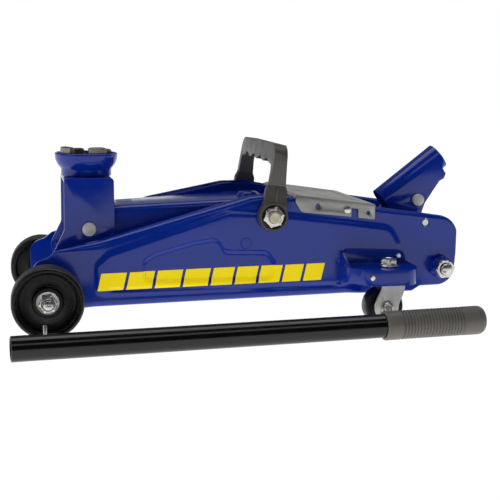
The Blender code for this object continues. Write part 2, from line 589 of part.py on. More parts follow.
def handle_socket(shop):
    pivot = (SOCKET_PIVOT[0], 0.0, SOCKET_PIVOT[1])
    outer, inner = SOCKET_RADIUS, SOCKET_RADIUS - SOCKET_SHEET
    length, drop = 67.0, -48.0
    section = [(outer, drop)] + arc((0, 0), outer, 0.0, 180.0, 14) + [(-outer, drop)]
    section += [(-inner, drop)] + arc((0, 0), inner, 180.0, 0.0, 14) + [(inner, drop)]
    socket = swept(shop, "handle_socket", section, 0.0, length, "blue_paint", pivot)
    px, pz = SOCKET_PIVOT
    profile = rounded([(290.0, 110.0, 0), (340.0, 165.0, 0), (357.5, 160.0, 0),
                       (357.5, 127.6, 0), (360.6, 122.6, 0.6), (358.8, 118.2, 1.5),
                       (354.8, 116.2, 3.0), (350.2, 109.3, 8.0), (341.4, 95.8, 10.0),
                       (px + 11.0, pz - 6.0, 8.0),
                       (px - 9.0, pz - 9.5, 9.0), (px - 15.5, pz + 4.0, 5.0),
                       (302.0, 95.0, 4.0)])
    shop.combine(socket, shop.prism("socket_profile", profile, "Y", -30.0, 30.0), "INTERSECT")
    ring = arc((0, 0), outer, 0.0, 360.0, 28)[:-1]
    mouth = swept(shop, "socket_ring", ring, 0.0, 27.0, None, pivot)
    shop.combine(socket, mouth, "UNION")
    bore = arc((0, 0), inner, 0.0, 360.0, 28)[:-1]
    shop.combine(socket, swept(shop, "socket_bore", bore, -5.0, 75.0, None, pivot))
    shop.drill(socket, "Y", pivot, 3.25 + GAP, -30.0, 30.0)
    shop.drill(socket, "Y", (PUMP_PIN[0], 0, PUMP_PIN[1]), 4.0 + GAP, -30.0, 30.0)

    head = outer + GAP
    profile = [(0.0, -head - 2.4), (4.6, -head - 2.4), (5.5, -head - 1.4), (5.5, -head),
               (4.0, -head), (4.0, head), (5.5, head), (5.5, head + 1.4), (4.6, head + 2.4),
               (0.0, head + 2.4)]
    shop.lathe("pump_pin", profile, "Y", (PUMP_PIN[0], 0, PUMP_PIN[1]), 16, "zinc")
    shop.tube("pump_roller", "Y", (PUMP_PIN[0], 0, PUMP_PIN[1]), 4.0 + GAP, 6.0, -9.4, 9.4, 16,
              "dark_steel")
    shop.rod("socket_pivot_pin", "Y", pivot, 3.25, -PLATE_OUT, PLATE_OUT, 14, "zinc", pivot)


def carry_handle(shop):
    pivot = (LIFT_PIVOT[0], 0.0, LIFT_PIVOT[1])
    x, z = LIFT_PIVOT
    out, leg, top, under = 67.6, 60.4, 151.6, 136.0
    outline = rounded([(-out, z, 0), (-out, top, 13.0), (out, top, 13.0), (out, z, 0),
                       (leg, z, 0), (leg, under, 5.0), (-leg, under, 5.0), (-leg, z, 0)])
    bail = shop.prism("carry_handle", outline, "X", x - 5.6, x + 5.6, "grey_plastic", pivot)
    collar = rounded([(x - 9.0, z, 0), (x - 9.0, z + 15.0, 2.0), (x - 6.5, z + 22.0, 1.0),
                      (x + 6.5, z + 22.0, 1.0), (x + 9.0, z + 15.0, 2.0), (x + 9.0, z, 0)], 2)
    for _, sign in sides():
        low, high = span(sign, leg - 0.05, out + 0.4)
        shop.combine(bail, shop.prism("handle_collar", collar, "Y", low, high), "UNION")
        low, high = span(sign, PLATE_OUT + 0.4, 69.2)
        eye = shop.lathe("handle_eye", [(0.0, low), (12.4, low), (12.4, high), (0.0, high)],
                         "Y", pivot, 28)
        shop.combine(bail, eye, "UNION")
        low, high = span(sign, 64.4, 75.0)
        shop.drill(bail, "Y", pivot, 9.9, low, high, 24)
    shop.drill(bail, "Y", pivot, PIVOT_RADIUS + GAP, -80.0, 80.0)
    swing = Matrix.Translation(Vector(pivot) * MM)
    lean = swing @ Matrix.Rotation(math.radians(HANDLE_LEAN), 4, "Y") @ swing.inverted()
    bpy.context.view_layer.update()
    for obj in (bail, *[step.object for step in bail.modifiers]):
        obj.matrix_local = lean @ obj.matrix_local
    for side, sign in sides():
        low, high = span(sign, 64.7, 71.2)
        hex_nut(shop, f"pivot_nut_{side}", LIFT_PIVOT, 16.0, PIVOT_RADIUS + GAP, low, high,
                turn=14.0)


def handle_bar(shop):
    turn = Matrix.Rotation(math.radians(BAR_ANGLE), 4, "Z")
    tilt = Matrix.Rotation(-math.atan2(GRIP_RADIUS - BAR_RADIUS, BAR_LENGTH), 4, "Y")
    place = Matrix.Translation(Vector((*BAR_START, BAR_RADIUS)) * MM) @ turn @ tilt
    wall = BAR_RADIUS - 1.6
    total = BAR_LENGTH + GRIP_LENGTH - 6.0
    bar = shop.lathe("handle_bar", [(wall, 0.0), (BAR_RADIUS, 0.0), (BAR_RADIUS, total),
                                    (wall, total)], "X", (0, 0, 0), 28, "black_enamel")
    shop.drill(bar, "Z", (25.0, 0, 0), 1.3 + GAP, -20.0, 20.0, 12)
    pin = shop.rod("bar_pin", "Z", (25.0, 0, 0), 1.3, -6.0, 16.4, 12, "zinc")
    start, end = BAR_LENGTH, BAR_LENGTH + GRIP_LENGTH
    bore = BAR_RADIUS + GAP
    rib_low, rib_high = start + 14.0, start + 66.0
    profile = [(0.0, total + GAP), (bore, total + GAP), (bore, start), (GRIP_RADIUS - 0.8, start),
               (GRIP_RADIUS, start + 1.0), (GRIP_RADIUS, rib_low),
               (GRIP_RADIUS - 0.8, rib_low + 1.0), (GRIP_RADIUS - 0.8, rib_high - 1.0),
               (GRIP_RADIUS, rib_high), (GRIP_RADIUS, end - 5.0),
               (GRIP_RADIUS - 1.5, end - 1.5), (GRIP_RADIUS - 5.0, end), (0.0, end)]
    grip = shop.lathe("bar_grip", profile, "X", (0, 0, 0), 28, "grey_plastic")
    bpy.context.view_layer.update()
    for obj in (bar, pin, grip, bpy.data.objects["handle_bar_hole"]):
        obj.matrix_local = place @ obj.matrix_local


def main():
    for obj in list(bpy.data.objects):
        bpy.data.objects.remove(obj)
    shop = Workshop()
    for side, sign in sides():
        side_plate(shop, side, sign)
        caster_bracket(shop, side, sign)
        caster(shop, side, sign)
        front_wheel(shop, side, sign)
    front_axle(shop)
    rear_tie(shop)
    cover_plate(shop)
    lift_arm(shop)
    saddle_bracket(shop)
    saddle(shop)
    links(shop)
    hydraulic_unit(shop)
    springs(shop)
    handle_socket(shop)
    carry_handle(shop)
    handle_bar(shop)


main()
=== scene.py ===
"""Looks of the hydraulic trolley jack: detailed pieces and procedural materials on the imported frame.

Shapes are written in millimetres in the jack's own design frame: front axle above x = 0, floor at
z = 0, mid-plane at y = 0, +X to the rear.  ORIGIN carries them into the row frame.
"""
import math

import bmesh
import bpy
from mathutils import Matrix, Vector, noise


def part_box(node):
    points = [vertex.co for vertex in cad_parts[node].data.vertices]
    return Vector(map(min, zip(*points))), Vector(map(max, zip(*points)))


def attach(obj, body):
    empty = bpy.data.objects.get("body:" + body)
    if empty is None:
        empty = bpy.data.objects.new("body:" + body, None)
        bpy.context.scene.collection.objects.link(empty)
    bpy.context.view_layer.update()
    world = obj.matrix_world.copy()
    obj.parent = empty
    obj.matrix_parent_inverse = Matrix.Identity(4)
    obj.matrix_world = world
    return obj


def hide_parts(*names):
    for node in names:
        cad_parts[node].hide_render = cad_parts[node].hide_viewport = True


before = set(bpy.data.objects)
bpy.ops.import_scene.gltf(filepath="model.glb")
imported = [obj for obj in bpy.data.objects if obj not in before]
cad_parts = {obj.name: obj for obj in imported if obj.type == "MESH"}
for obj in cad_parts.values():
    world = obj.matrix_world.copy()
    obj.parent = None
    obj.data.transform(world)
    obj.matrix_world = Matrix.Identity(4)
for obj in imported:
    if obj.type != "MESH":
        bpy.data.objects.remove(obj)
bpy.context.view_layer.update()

MM = 0.001
BEVEL_FROM = 28.0
PLATE_FACE = 58.0
AXLE = (0.0, 28.7)
AXLE_LOW, AXLE_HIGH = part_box("front_axle")
ORIGIN = Vector(((AXLE_LOW.x + AXLE_HIGH.x) / 2, (AXLE_LOW.y + AXLE_HIGH.y) / 2, 0.0))
SIDES = (("left", -1.0), ("right", 1.0))

PIVOT = (186.5, 91.8)
STUD = (165.0, 68.8)
TIE = (339.0, 45.5)
SOCKET_PIVOT = (324.6, 84.2)
PUMP_PIN = (334.4, 99.0)
CASTER = (284.5, 79.5)
SADDLE_PIN = (36.4, 78.9)
LEVER_PIN = (205.2, 59.4)


# ---- material nodes -------------------------------------------------------------------------
class Recipe:
    """A Principled material with helpers for the nodes in front of it."""

    def __init__(self, name, roughness, metallic=0.0, **sockets):
        self.mat = bpy.data.materials.new(name)
        self.mat.use_nodes = True
        self.tree = self.mat.node_tree
        self.shader = self.tree.nodes["Principled BSDF"]
        self.shader.inputs["Roughness"].default_value = roughness
        self.shader.inputs["Metallic"].default_value = metallic
        for key, value in sockets.items():
            self.shader.inputs[key.replace("_", " ")].default_value = value
        self.coords = self.tree.nodes.new("ShaderNodeTexCoord")
        self.height = None

    def node(self, kind, **values):
        made = self.tree.nodes.new(kind)
        for key, value in values.items():
            setattr(made, key, value)
        return made

    def link(self, out, into):
        self.tree.links.new(out, into)

    def noise(self, scale, detail=4.0, rough=0.55, stretch=None):
        tex = self.node("ShaderNodeTexNoise")
        tex.inputs["Scale"].default_value = scale
        tex.inputs["Detail"].default_value = detail
        tex.inputs["Roughness"].default_value = rough
        if stretch:
            mapping = self.node("ShaderNodeMapping")
            mapping.inputs["Scale"].default_value = stretch
            self.link(self.coords.outputs["Object"], mapping.inputs["Vector"])
            self.link(mapping.outputs["Vector"], tex.inputs["Vector"])
        else:
            self.link(self.coords.outputs["Object"], tex.inputs["Vector"])
        return tex.outputs["Fac"]

    def ramp(self, source, stops):
        made = self.node("ShaderNodeValToRGB")
        band = made.color_ramp
        while len(band.elements) < len(stops):
            band.elements.new(0.5)
        for element, (position, colour) in zip(band.elements, stops):
            element.position = position
            element.color = (*colour, 1.0)
        self.link(source, made.inputs["Fac"])
        return made.outputs["Color"]

    def span(self, source, low, high, start=0.3, end=0.7):
        made = self.node("ShaderNodeMapRange")
        made.inputs["From Min"].default_value = start
        made.inputs["From Max"].default_value = end
        made.inputs["To Min"].default_value = low
        made.inputs["To Max"].default_value = high
        self.link(source, made.inputs["Value"])
        return made.outputs["Result"]

    def mix(self, factor, first, second):
        """Blend from a colour output to a fixed colour."""
        made = self.node("ShaderNodeMix", data_type="RGBA")
        self.link(factor, made.inputs["Factor"])
        self.link(first, made.inputs[6])
        made.inputs[7].default_value = (*second, 1.0)
        return made.outputs[2]

    def edges(self, start, end):
        """High on outward edges of the mesh."""
        geometry = self.node("ShaderNodeNewGeometry")
        return self.span(geometry.outputs["Pointiness"], 0.0, 1.0, start, end)

    def colour(self, source):
        self.link(source, self.shader.inputs["Base Color"])

    def roughness(self, source):
        self.link(source, self.shader.inputs["Roughness"])

    def bump(self, source, strength, distance):
        made = self.node("ShaderNodeBump")
        made.inputs["Strength"].default_value = strength
        made.inputs["Distance"].default_value = distance
        self.link(source, made.inputs["Height"])
        if self.height:
            self.link(self.height, made.inputs["Normal"])
        self.height = made.outputs["Normal"]
        self.link(self.height, self.shader.inputs["Normal"])


def finish(name, roughness, metallic, tone, gloss, *bumps, worn=None, grime=None, **sockets):
    """Material from noise settings: tone (noise, ramp stops), gloss (noise, low, high) and
    bumps (noise, strength, distance).  worn is (edge start, edge end, colour) and grime is
    (noise, low, high, start, end, colour)."""
    r = Recipe(name, roughness, metallic, **sockets)
    base = r.ramp(r.noise(*tone[0]), tone[1])
    if worn:
        base = r.mix(r.edges(*worn[:2]), base, worn[2])
    if grime:
        base = r.mix(r.span(r.noise(*grime[0]), *grime[1:5]), base, grime[5])
    r.colour(base)
    if gloss:
        r.roughness(r.span(r.noise(*gloss[0]), *gloss[1:]))
    for grain, strength, distance in bumps:
        r.bump(r.noise(*grain), strength, distance)
    return r.mat


def pair(dark, light):
    """Ramp stops for a two-colour noise."""
    return [(0.3, dark), (0.7, light)]


def satin_sheet(name, dark, light, metal):
    worn = light * 1.25
    return finish(name, 0.38, metal,
                  ((22.0, 5.0), pair((dark, dark, dark * 0.97), (light, light, light * 0.97))),
                  ((900.0, 3.0, 0.6, (0.05, 1.0, 1.0)), 0.30, 0.48),
                  ((700.0, 3.0, 0.6, (0.08, 1.0, 1.0)), 0.10, 0.0002),
                  worn=(0.53, 0.64, (worn, worn, worn * 0.97)))


def grey_plastic(name, dark, light):
    worn = light * 1.6
    return finish(name, 0.42, 0.0,
                  ((45.0, 5.0), pair((dark, dark * 0.93, dark * 0.86),
                                     (light, light * 0.93, light * 0.86))),
                  ((90.0, 4.0), 0.34, 0.52), ((1100.0, 2.0), 0.20, 0.0002),
                  worn=(0.53, 0.66, (worn, worn * 0.96, worn * 0.91)), Specular_IOR_Level=0.4)


PAINT = finish("blue_enamel", 0.16, 0.0,
               ((14.0, 3.0), pair((0.0008, 0.028, 0.36), (0.0012, 0.034, 0.42))),
               ((60.0, 5.0), 0.11, 0.22), ((420.0, 2.0), 0.07, 0.0003), ((28.0, 2.0), 0.10, 0.0012))
ZINC = finish("bright_zinc", 0.28, 1.0,
              ((70.0, 4.0), pair((0.60, 0.59, 0.56), (0.78, 0.77, 0.74))),
              ((120.0, 4.0), 0.20, 0.36), ((500.0, 2.0), 0.05, 0.0002),
              grime=((240.0, 6.0), 0.0, 0.3, 0.60, 0.75, (0.34, 0.32, 0.29)))
STEEL = finish("dark_steel", 0.36, 0.8,
               ((70.0, 6.0), [(0.3, (0.012, 0.011, 0.011)), (0.6, (0.035, 0.033, 0.031)),
                              (0.8, (0.09, 0.085, 0.08))]),
               ((200.0, 4.0), 0.22, 0.45), ((320.0, 5.0), 0.25, 0.0004),
               worn=(0.52, 0.60, (0.34, 0.32, 0.30)))
SHEET = satin_sheet("satin_sheet", 0.26, 0.36, 0.8)
# Lighter, less metallic copy of the satin sheet for the cover's top panel, whose flanges and folds are
# the same sheet: painted light on the upward face.
SHEET_PAINTED_LIT_TOP = satin_sheet("satin_sheet_painted_lit_top", 0.52, 0.62, 0.3)
CAST = finish("casting", 0.6, 0.5, ((80.0, 6.0), pair((0.04, 0.04, 0.042), (0.10, 0.10, 0.105))),
              ((160.0, 4.0), 0.45, 0.75), ((500.0, 6.0), 0.5, 0.0006))
WHEEL = finish("wheel_black", 0.34, 0.0,
               ((260.0, 8.0, 0.7), [(0.3, (0.003, 0.003, 0.003)), (0.62, (0.006, 0.006, 0.006)),
                                    (0.78, (0.030, 0.030, 0.029))]),
               ((120.0, 6.0), 0.22, 0.46), ((620.0, 6.0, 0.65), 0.30, 0.0005),
               Specular_IOR_Level=0.35)
STREAK = (160.0, 7.0, 0.7, (1.0, 0.35, 1.0))
TREAD = finish("wheel_tread", 0.6, 0.0,
               (STREAK, [(0.32, (0.008, 0.0075, 0.007)), (0.6, (0.035, 0.033, 0.030)),
                         (0.8, (0.10, 0.095, 0.09))]),
               (STREAK, 0.40, 0.70), ((700.0, 5.0), 0.3, 0.0004), Specular_IOR_Level=0.4)
PLASTIC = grey_plastic("grey_plastic", 0.060, 0.082)
# Lighter copy of the grey plastic for the grip: painted light standing in for the front light on the
# nearer, front-facing grip.
GRIP_PLASTIC_PAINTED_LIT = grey_plastic("grip_plastic_painted_lit", 0.15, 0.19)
BLACK = finish("black_enamel", 0.16, 0.0,
               ((30.0, 5.0), pair((0.0015, 0.0010, 0.0008), (0.0035, 0.0028, 0.0025))),
               ((120.0, 6.0), 0.12, 0.24), ((300.0, 4.0, 0.6, (0.1, 1.0, 1.0)), 0.05, 0.0003))
RUBBER = finish("soft_rubber", 0.75, 0.0,
                ((70.0, 5.0), pair((0.012, 0.012, 0.012), (0.03, 0.03, 0.03))),
                ((150.0, 4.0), 0.62, 0.85), ((900.0, 3.0), 0.25, 0.0002))
# The yellow vinyl also emits a faint yellow glow (emission 0.35): painted light, as the decal is no
# lamp.
YELLOW = finish("yellow_vinyl_painted_glow", 0.3, 0.0, ((60.0, 3.0), pair((0.95, 0.72, 0.0), (1.0, 0.80, 0.004))),
                ((120.0, 3.0), 0.25, 0.4), ((500.0, 2.0), 0.1, 0.0002), Specular_IOR_Level=0.3,
                Emission_Color=(1.0, 0.78, 0.0, 1.0), Emission_Strength=0.35)
DULL = finish("dull_zinc", 0.5, 0.25, ((110.0, 5.0), pair((0.74, 0.73, 0.69), (0.86, 0.85, 0.81))),
              ((260.0, 4.0), 0.38, 0.58), ((800.0, 3.0), 0.15, 0.0002))
CREAM = finish("brass_end", 0.4, 0.7, ((80.0, 4.0), pair((0.62, 0.55, 0.42), (0.74, 0.67, 0.52))),
               ((140.0, 3.0), 0.32, 0.48), ((500.0, 2.0), 0.08, 0.0002))


# ---- shapes, all returning (points, faces) ----------------------------------------------------
def arc(centre, radius, start, end, steps):
    points = []
    for i in range(steps + 1):
        a = math.radians(start + (end - start) * i / steps)
        points.append((centre[0] + radius * math.cos(a), centre[1] + radius * math.sin(a)))
    return points


def rounded(corners, steps=6):
    """Closed outline from (a, b, radius) corners."""
    outline = []
    count = len(corners)
    for i, (a, b, radius) in enumerate(corners):
        here = Vector((a, b))
        if radius <= 0.0:
            outline.append((a, b))
            continue
        before = (Vector(corners[i - 1][:2]) - here).normalized()
        after = (Vector(corners[(i + 1) % count][:2]) - here).normalized()
        half = before.angle(after) / 2.0
        if half > math.radians(88.5):
            outline.append((a, b))
            continue
        centre = here + (before + after).normalized() * (radius / math.sin(half))
        first = here + before * (radius / math.tan(half)) - centre
        last = here + after * (radius / math.tan(half)) - centre
        turn = first.angle_signed(last)
        for k in range(steps + 1):
            spin = Matrix.Rotation(-turn * k / steps, 2)
            outline.append(tuple(centre + spin @ first))
    return outline


def axes(axis):
    """Maps (across, up, along) to a point for work along the axis."""
    return {"X": lambda a, b, h: (h, a, b),
            "Y": lambda a, b, h: (a, h, b),
            "Z": lambda a, b, h: (a, b, h)}[axis]


def prism(outline, axis, low, high):
    place = axes(axis)
    n = len(outline)
    points = [place(a, b, low) for a, b in outline] + [place(a, b, high) for a, b in outline]
    faces = [tuple(range(n)), tuple(range(2 * n - 1, n - 1, -1))]
    faces += [(i, (i + 1) % n, n + (i + 1) % n, n + i) for i in range(n)]
    return points, faces


def turned(profile, axis, centre, steps=64, phase=0.5, shape=None):
    """Body of revolution from (radius, height); shape(radius, angle) may vary the radius."""
    place = axes(axis)
    points = []
    rings = []
    for radius, height in profile:
        if radius == 0.0:
            rings.append([len(points)] * steps)
            x, y, z = place(0.0, 0.0, height)
            points.append((centre[0] + x, centre[1] + y, centre[2] + z))
            continue
        rings.append(list(range(len(points), len(points) + steps)))
        for k in range(steps):
            a = 2.0 * math.pi * (k + phase) / steps
            r = shape(radius, a) if shape else radius
            x, y, z = place(r * math.cos(a), r * math.sin(a), height)
            points.append((centre[0] + x, centre[1] + y, centre[2] + z))
    faces = []
    last = len(rings) - 1 if profile[0][0] == 0.0 else len(rings)
    for i in range(last):
        lower, upper = rings[i], rings[(i + 1) % len(rings)]
        for k in range(steps):
            n = (k + 1) % steps
            corners = []
            for v in (lower[k], lower[n], upper[n], upper[k]):
                if v not in corners:
                    corners.append(v)
            faces.append(tuple(corners))
    return points, faces


def loft(rings):
    """Skin over rings of equal count, capped at both ends."""
    n = len(rings[0])
    points = [p for ring in rings for p in ring]
    faces = []
    for i in range(len(rings) - 1):
        for k in range(n):
            j = (k + 1) % n
            faces.append((i * n + k, i * n + j, (i + 1) * n + j, (i + 1) * n + k))
    faces.append(tuple(range(n)))
    faces.append(tuple(range(len(points) - 1, len(points) - 1 - n, -1)))
    return points, faces


def mirrored(half):
    """Profile of a pin headed alike at both ends, from the outer half of one end."""
    return half + [(r, -h) for r, h in reversed(half)]


def merge(*shapes):
    points, faces = [], []
    for p, f in shapes:
        base = len(points)
        points += list(p)
        faces += [tuple(base + i for i in face) for face in f]
    return points, faces


def raw(name, shape):
    mesh = bpy.data.meshes.new(name)
    mesh.from_pydata([Vector(p) * MM + ORIGIN for p in shape[0]], [], shape[1])
    bm = bmesh.new()
    bm.from_mesh(mesh)
    bmesh.ops.recalc_face_normals(bm, faces=bm.faces)
    bm.to_mesh(mesh)
    bm.free()
    obj = bpy.data.objects.new(name, mesh)
    bpy.context.scene.collection.objects.link(obj)
    return obj


def cut(obj, *steps):
    """Applies (operation, shape) Booleans to obj in turn."""
    for operation, shape in steps:
        tool = raw("tool", shape)
        step = obj.modifiers.new("step", "BOOLEAN")
        step.operation = operation
        step.solver = "EXACT"
        step.object = tool
        bpy.context.view_layer.update()
        seen = obj.evaluated_get(bpy.context.evaluated_depsgraph_get())
        mesh = bpy.data.meshes.new_from_object(seen)
        obj.modifiers.clear()
        obj.data = mesh
        bpy.data.objects.remove(tool)
    return obj


def finish_mesh(obj, bevel=0.0, segments=2, smooth=38.0):
    """Bevels the sharp edges and smooths the rest."""
    bm = bmesh.new()
    bm.from_mesh(obj.data)
    bmesh.ops.remove_doubles(bm, verts=bm.verts, dist=0.00001)
    if bevel:
        bmesh.ops.dissolve_limit(bm, angle_limit=math.radians(1.0), verts=bm.verts,
                                 edges=bm.edges)
        sharp = [e for e in bm.edges if len(e.link_faces) == 2
                 and e.calc_face_angle(0.0) > math.radians(BEVEL_FROM)]
        bmesh.ops.bevel(bm, geom=sharp, offset=bevel * MM, segments=segments, profile=0.5,
                        affect="EDGES", clamp_overlap=True)
    bmesh.ops.recalc_face_normals(bm, faces=bm.faces)
    bm.to_mesh(obj.data)
    bm.free()
    obj.data.shade_smooth()
    obj.data.set_sharp_from_angle(angle=math.radians(smooth))
    return obj


def dress(obj, material, body, nodes=()):
    obj.data.materials.clear()
    obj.data.materials.append(material)
    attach(obj, body)
    if nodes:
        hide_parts(*nodes)
    return obj


def piece(name, shape, material, body, nodes=(), steps=(), bevel=0.0, segments=2, smooth=38.0):
    obj = raw(name, shape)
    cut(obj, *steps)
    finish_mesh(obj, bevel, segments, smooth)
    return dress(obj, material, body, nodes)


def softened(node, material, body, bevel=0.5, segments=2):
    """Copy of a CAD node with its edges eased, standing in for it."""
    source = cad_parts[node]
    obj = bpy.data.objects.new(node + "_look", source.data.copy())
    bpy.context.scene.collection.objects.link(obj)
    bm = bmesh.new()
    bm.from_mesh(obj.data)
    bmesh.ops.remove_doubles(bm, verts=bm.verts, dist=0.00001)
    bm.to_mesh(obj.data)
    bm.free()
    finish_mesh(obj, bevel, segments)
    return dress(obj, material, body, (node,))


def rod_profile(radius, low, high, chamfer, grooves=()):
    """Half profile of a rod; grooves are (start, end, pitch, depth) threaded stretches."""
    profile = [(0.0, low), (radius - chamfer, low), (radius, low + chamfer)]
    for start, end, pitch, depth in grooves:
        h = start
        while h + pitch <= end:
            profile += [(radius, h), (radius - depth, h + pitch * 0.5)]
            h += pitch
        profile.append((radius, h))
    profile += [(radius, high - chamfer), (radius - chamfer, high), (0.0, high)]
    return profile


def cylinder(axis, centre, radius, low, high, steps=48):
    return turned([(0.0, low), (radius, low), (radius, high), (0.0, high)], axis, centre, steps)


def drilled(spot, radius, low=-60.0, high=60.0, steps=32):
    """Cut for a round hole across the jack at (x, z)."""
    return "DIFFERENCE", cylinder("Y", (spot[0], 0.0, spot[1]), radius, low, high, steps)


def outward(profile, sign):
    """Profile given for the right-hand side, turned to the side of sign."""
    return [(r, sign * h) for r, h in profile]


def hexed(across, turn):
    """Radius limiter that trims a turned body to a hexagon."""
    def limit(radius, angle):
        a = (angle - math.radians(turn)) % (math.pi / 3.0) - math.pi / 6.0
        return min(radius, across / 2.0 / math.cos(a))
    return limit


def nut_shape(axis, centre, across, bore, inner, outer, turn, dome=0.0):
    """Hex nut between two heights with chamfered corners; dome adds a locking collar outside."""
    tip = across / math.sqrt(3.0)
    s = 1.0 if outer > inner else -1.0
    c = (tip - across / 2.0 * 0.97) * 0.55
    collar = outer - s * dome
    profile = [(bore, inner), (across * 0.485, inner), (tip, inner + s * c),
               (tip, collar - s * c), (across * 0.485, collar)]
    if dome:
        profile += [(across * 0.43, collar + s * 0.15), (across * 0.41, collar + s * dome * 0.6),
                    (across * 0.36, outer), (bore + 0.3, outer), (bore, outer - s * 0.3)]
    else:
        profile += [(bore + 0.6, collar), (bore, collar - s * 0.6)]
    return turned(profile, axis, centre, 96, 0.0, hexed(across, turn))


# ---- side plates ------------------------------------------------------------------------------
CREST = {"left": [(43.4, 72.1, 30.0), (169.0, 108.0, 14.0), (189.5, 110.3, 20.0)],
         "right": [(43.4, 77.5, 30.0), (94.0, 97.4, 30.0), (163.0, 111.6, 20.0),
                   (187.0, 111.8, 20.0)]}
PLATE = {side: rounded([
    (-11.0, 17.0, 13.0), (-11.5, 55.0, 12.0), (2.0, 59.3, 3.0), (8.0, 64.5, 3.0), *crest,
    (208.0, 107.8, 20.0), (355.2, 87.9, 18.0), (354.5, 60.0, 30.0), (351.5, 29.2, 15.0),
    (322.0, 28.2, 3.0), (315.0, 23.8, 3.0), (258.0, 22.9, 0.0), (35.0, 16.8, 0.0),
    (12.0, 16.2, 0.0)], 10) for side, crest in CREST.items()}
PANEL = rounded([(41.0, 27.5, 7.0), (40.0, 52.0, 6.0), (50.0, 61.5, 8.0), (150.0, 95.0, 14.0),
                 (206.0, 91.4, 10.0), (292.0, 80.5, 12.0), (301.0, 66.0, 10.0),
                 (300.0, 33.0, 6.0)], 5)
INSET = rounded([(79.0, 38.0, 7.0), (79.5, 55.0, 6.0), (88.0, 60.5, 6.0), (120.5, 69.5, 12.0),
                 (140.0, 72.5, 7.0), (147.5, 61.5, 5.0), (184.0, 60.5, 8.0), (191.0, 50.0, 8.0),
                 (189.0, 38.0, 7.0)], 5)


def inside_distance(outline, x, z):
    """Distance to the outline, positive inside."""
    best = 1e9
    inside = False
    count = len(outline)
    for i in range(count):
        ax, az = outline[i - 1]
        bx, bz = outline[i]
        dx, dz = bx - ax, bz - az
        t = ((x - ax) * dx + (z - az) * dz) / max(dx * dx + dz * dz, 1e-9)
        t = min(1.0, max(0.0, t))
        best = min(best, math.hypot(x - ax - t * dx, z - az - t * dz))
        if (az > z) != (bz > z) and x < ax + (z - az) / (bz - az) * dx:
            inside = not inside
    return best if inside else -best


def ease(value, width):
    """Smooth step from 0 to 1 across a width centred on zero."""
    t = min(1.0, max(0.0, value / width + 0.5))
    return t * t * (3.0 - 2.0 * t)


def column_range(outline, x):
    """Lowest and highest z of the outline at x."""
    found = []
    for i in range(len(outline)):
        (ax, az), (bx, bz) = outline[i - 1], outline[i]
        if (ax - x) * (bx - x) <= 0.0 and ax != bx:
            found.append(az + (x - ax) / (bx - ax) * (bz - az))
    return min(found), max(found)


def blend(x, knots):
    """Straight-line value at x from (x, value) knots."""
    for (ax, av), (bx, bv) in zip(knots, knots[1:]):
        if x <= bx:
            return av + (bv - av) * max(0.0, (x - ax) / (bx - ax))
    return knots[-1][1]


def edge_roll(distance, radius):
    """How far a rolled edge has turned inward at a distance from the rim."""
    if distance >= radius or radius <= 0.0:
        return 0.0
    k = radius - distance
    return radius - math.sqrt(max(radius * radius - k * k, 0.0))


def plate_skin(x, z, low, high):
    """Outer face of the plate, as distance from the mid-plane."""
    y = PLATE_FACE
    y += 1.7 * ease(inside_distance(PANEL, x, z), 4.5)
    y -= 1.6 * ease(inside_distance(INSET, x, z), 4.0)
    y -= 1.1 * ease(1.6 - abs(z - 31.5), 2.4) * ease(x - 52.0, 6.0) * ease(244.0 - x, 6.0)
    upper = blend(x, [(-11, 0.9), (8, 0.9), (40, 6.5), (160, 6.5), (186, 4.5), (300, 4.0),
                      (340, 3.0), (355, 1.2)])
    lower = blend(x, [(-11, 0.9), (20, 0.9), (40, 5.0), (255, 5.0), (268, 1.5), (355, 1.2)])
    y -= 0.92 * edge_roll((high - z) * 0.96, upper)
    y -= 0.92 * edge_roll(z - low, lower)
    band = max(0.0, 20.0 - (high - z)) * ease(x - 42.0, 20.0) * ease(206.0 - x, 30.0)
    y -= 0.0034 * band * band
    front = edge_roll(x + 11.2, 0.9) + edge_roll(354.3 - x, 1.2)
    return y - front


def plate_shape(side, sign):
    stations = [-11.15, -10.8, -10.2, -9.3, -8.2, -6.8, -5.2, -3.5, -1.8, 0.0]
    x = 0.0
    while x < 330.0:
        x += 1.7
        stations.append(x)
    while x < 353.4:
        x += 0.9
        stations.append(x)
    stations += [353.9, 354.2]
    rows = 54
    sheet = 2.7
    outer, inner = [], []
    for x in stations:
        low, high = column_range(PLATE[side], x)
        line_out, line_in = [], []
        for k in range(rows + 1):
            t = k / rows - 0.055 * math.sin(2.0 * math.pi * k / rows)
            z = low + (high - low) * t
            y = plate_skin(x, z, low, high)
            line_out.append((x, sign * y, z))
            line_in.append((x, sign * (min(y, PLATE_FACE) - sheet), z))
        outer.append(line_out)
        inner.append(line_in)
    rings = [o + i[::-1] for o, i in zip(outer, inner)]
    return loft(rings)


def side_plates():
    holes = [(AXLE, 4.3), (PIVOT, 5.3), (SOCKET_PIVOT, 3.6), (TIE, 5.3), ((252.8, 96.0), 2.3)]
    head = [(0.0, 59.95), (3.7, 59.95), (4.0, 59.45), (4.35, 59.45), (4.7, 60.05), (4.9, 59.55),
            (4.9, 56.95), (0.0, 56.95)]
    for side, sign in SIDES:
        low, high = sorted((sign * 44.0, sign * 64.0))
        piece(f"plate_{side}", plate_shape(side, sign), PAINT, "frame", [f"side_plate_{side}"],
              [drilled(spot, r, low, high) for spot, r in holes], smooth=42.0)
        low, high = sorted((sign * 45.0, sign * 54.5))
        foot = prism([(42.0, 17.5), (256.0, 23.2), (256.0, 25.6), (42.0, 19.9)], "Y", low, high)
        piece(f"plate_foot_{side}", foot, PAINT, "frame", bevel=0.5)
        piece(f"stud_head_{side}", turned(outward(head, sign), "Y", (STUD[0], 0.0, STUD[1]), 40),
              PAINT, "frame")


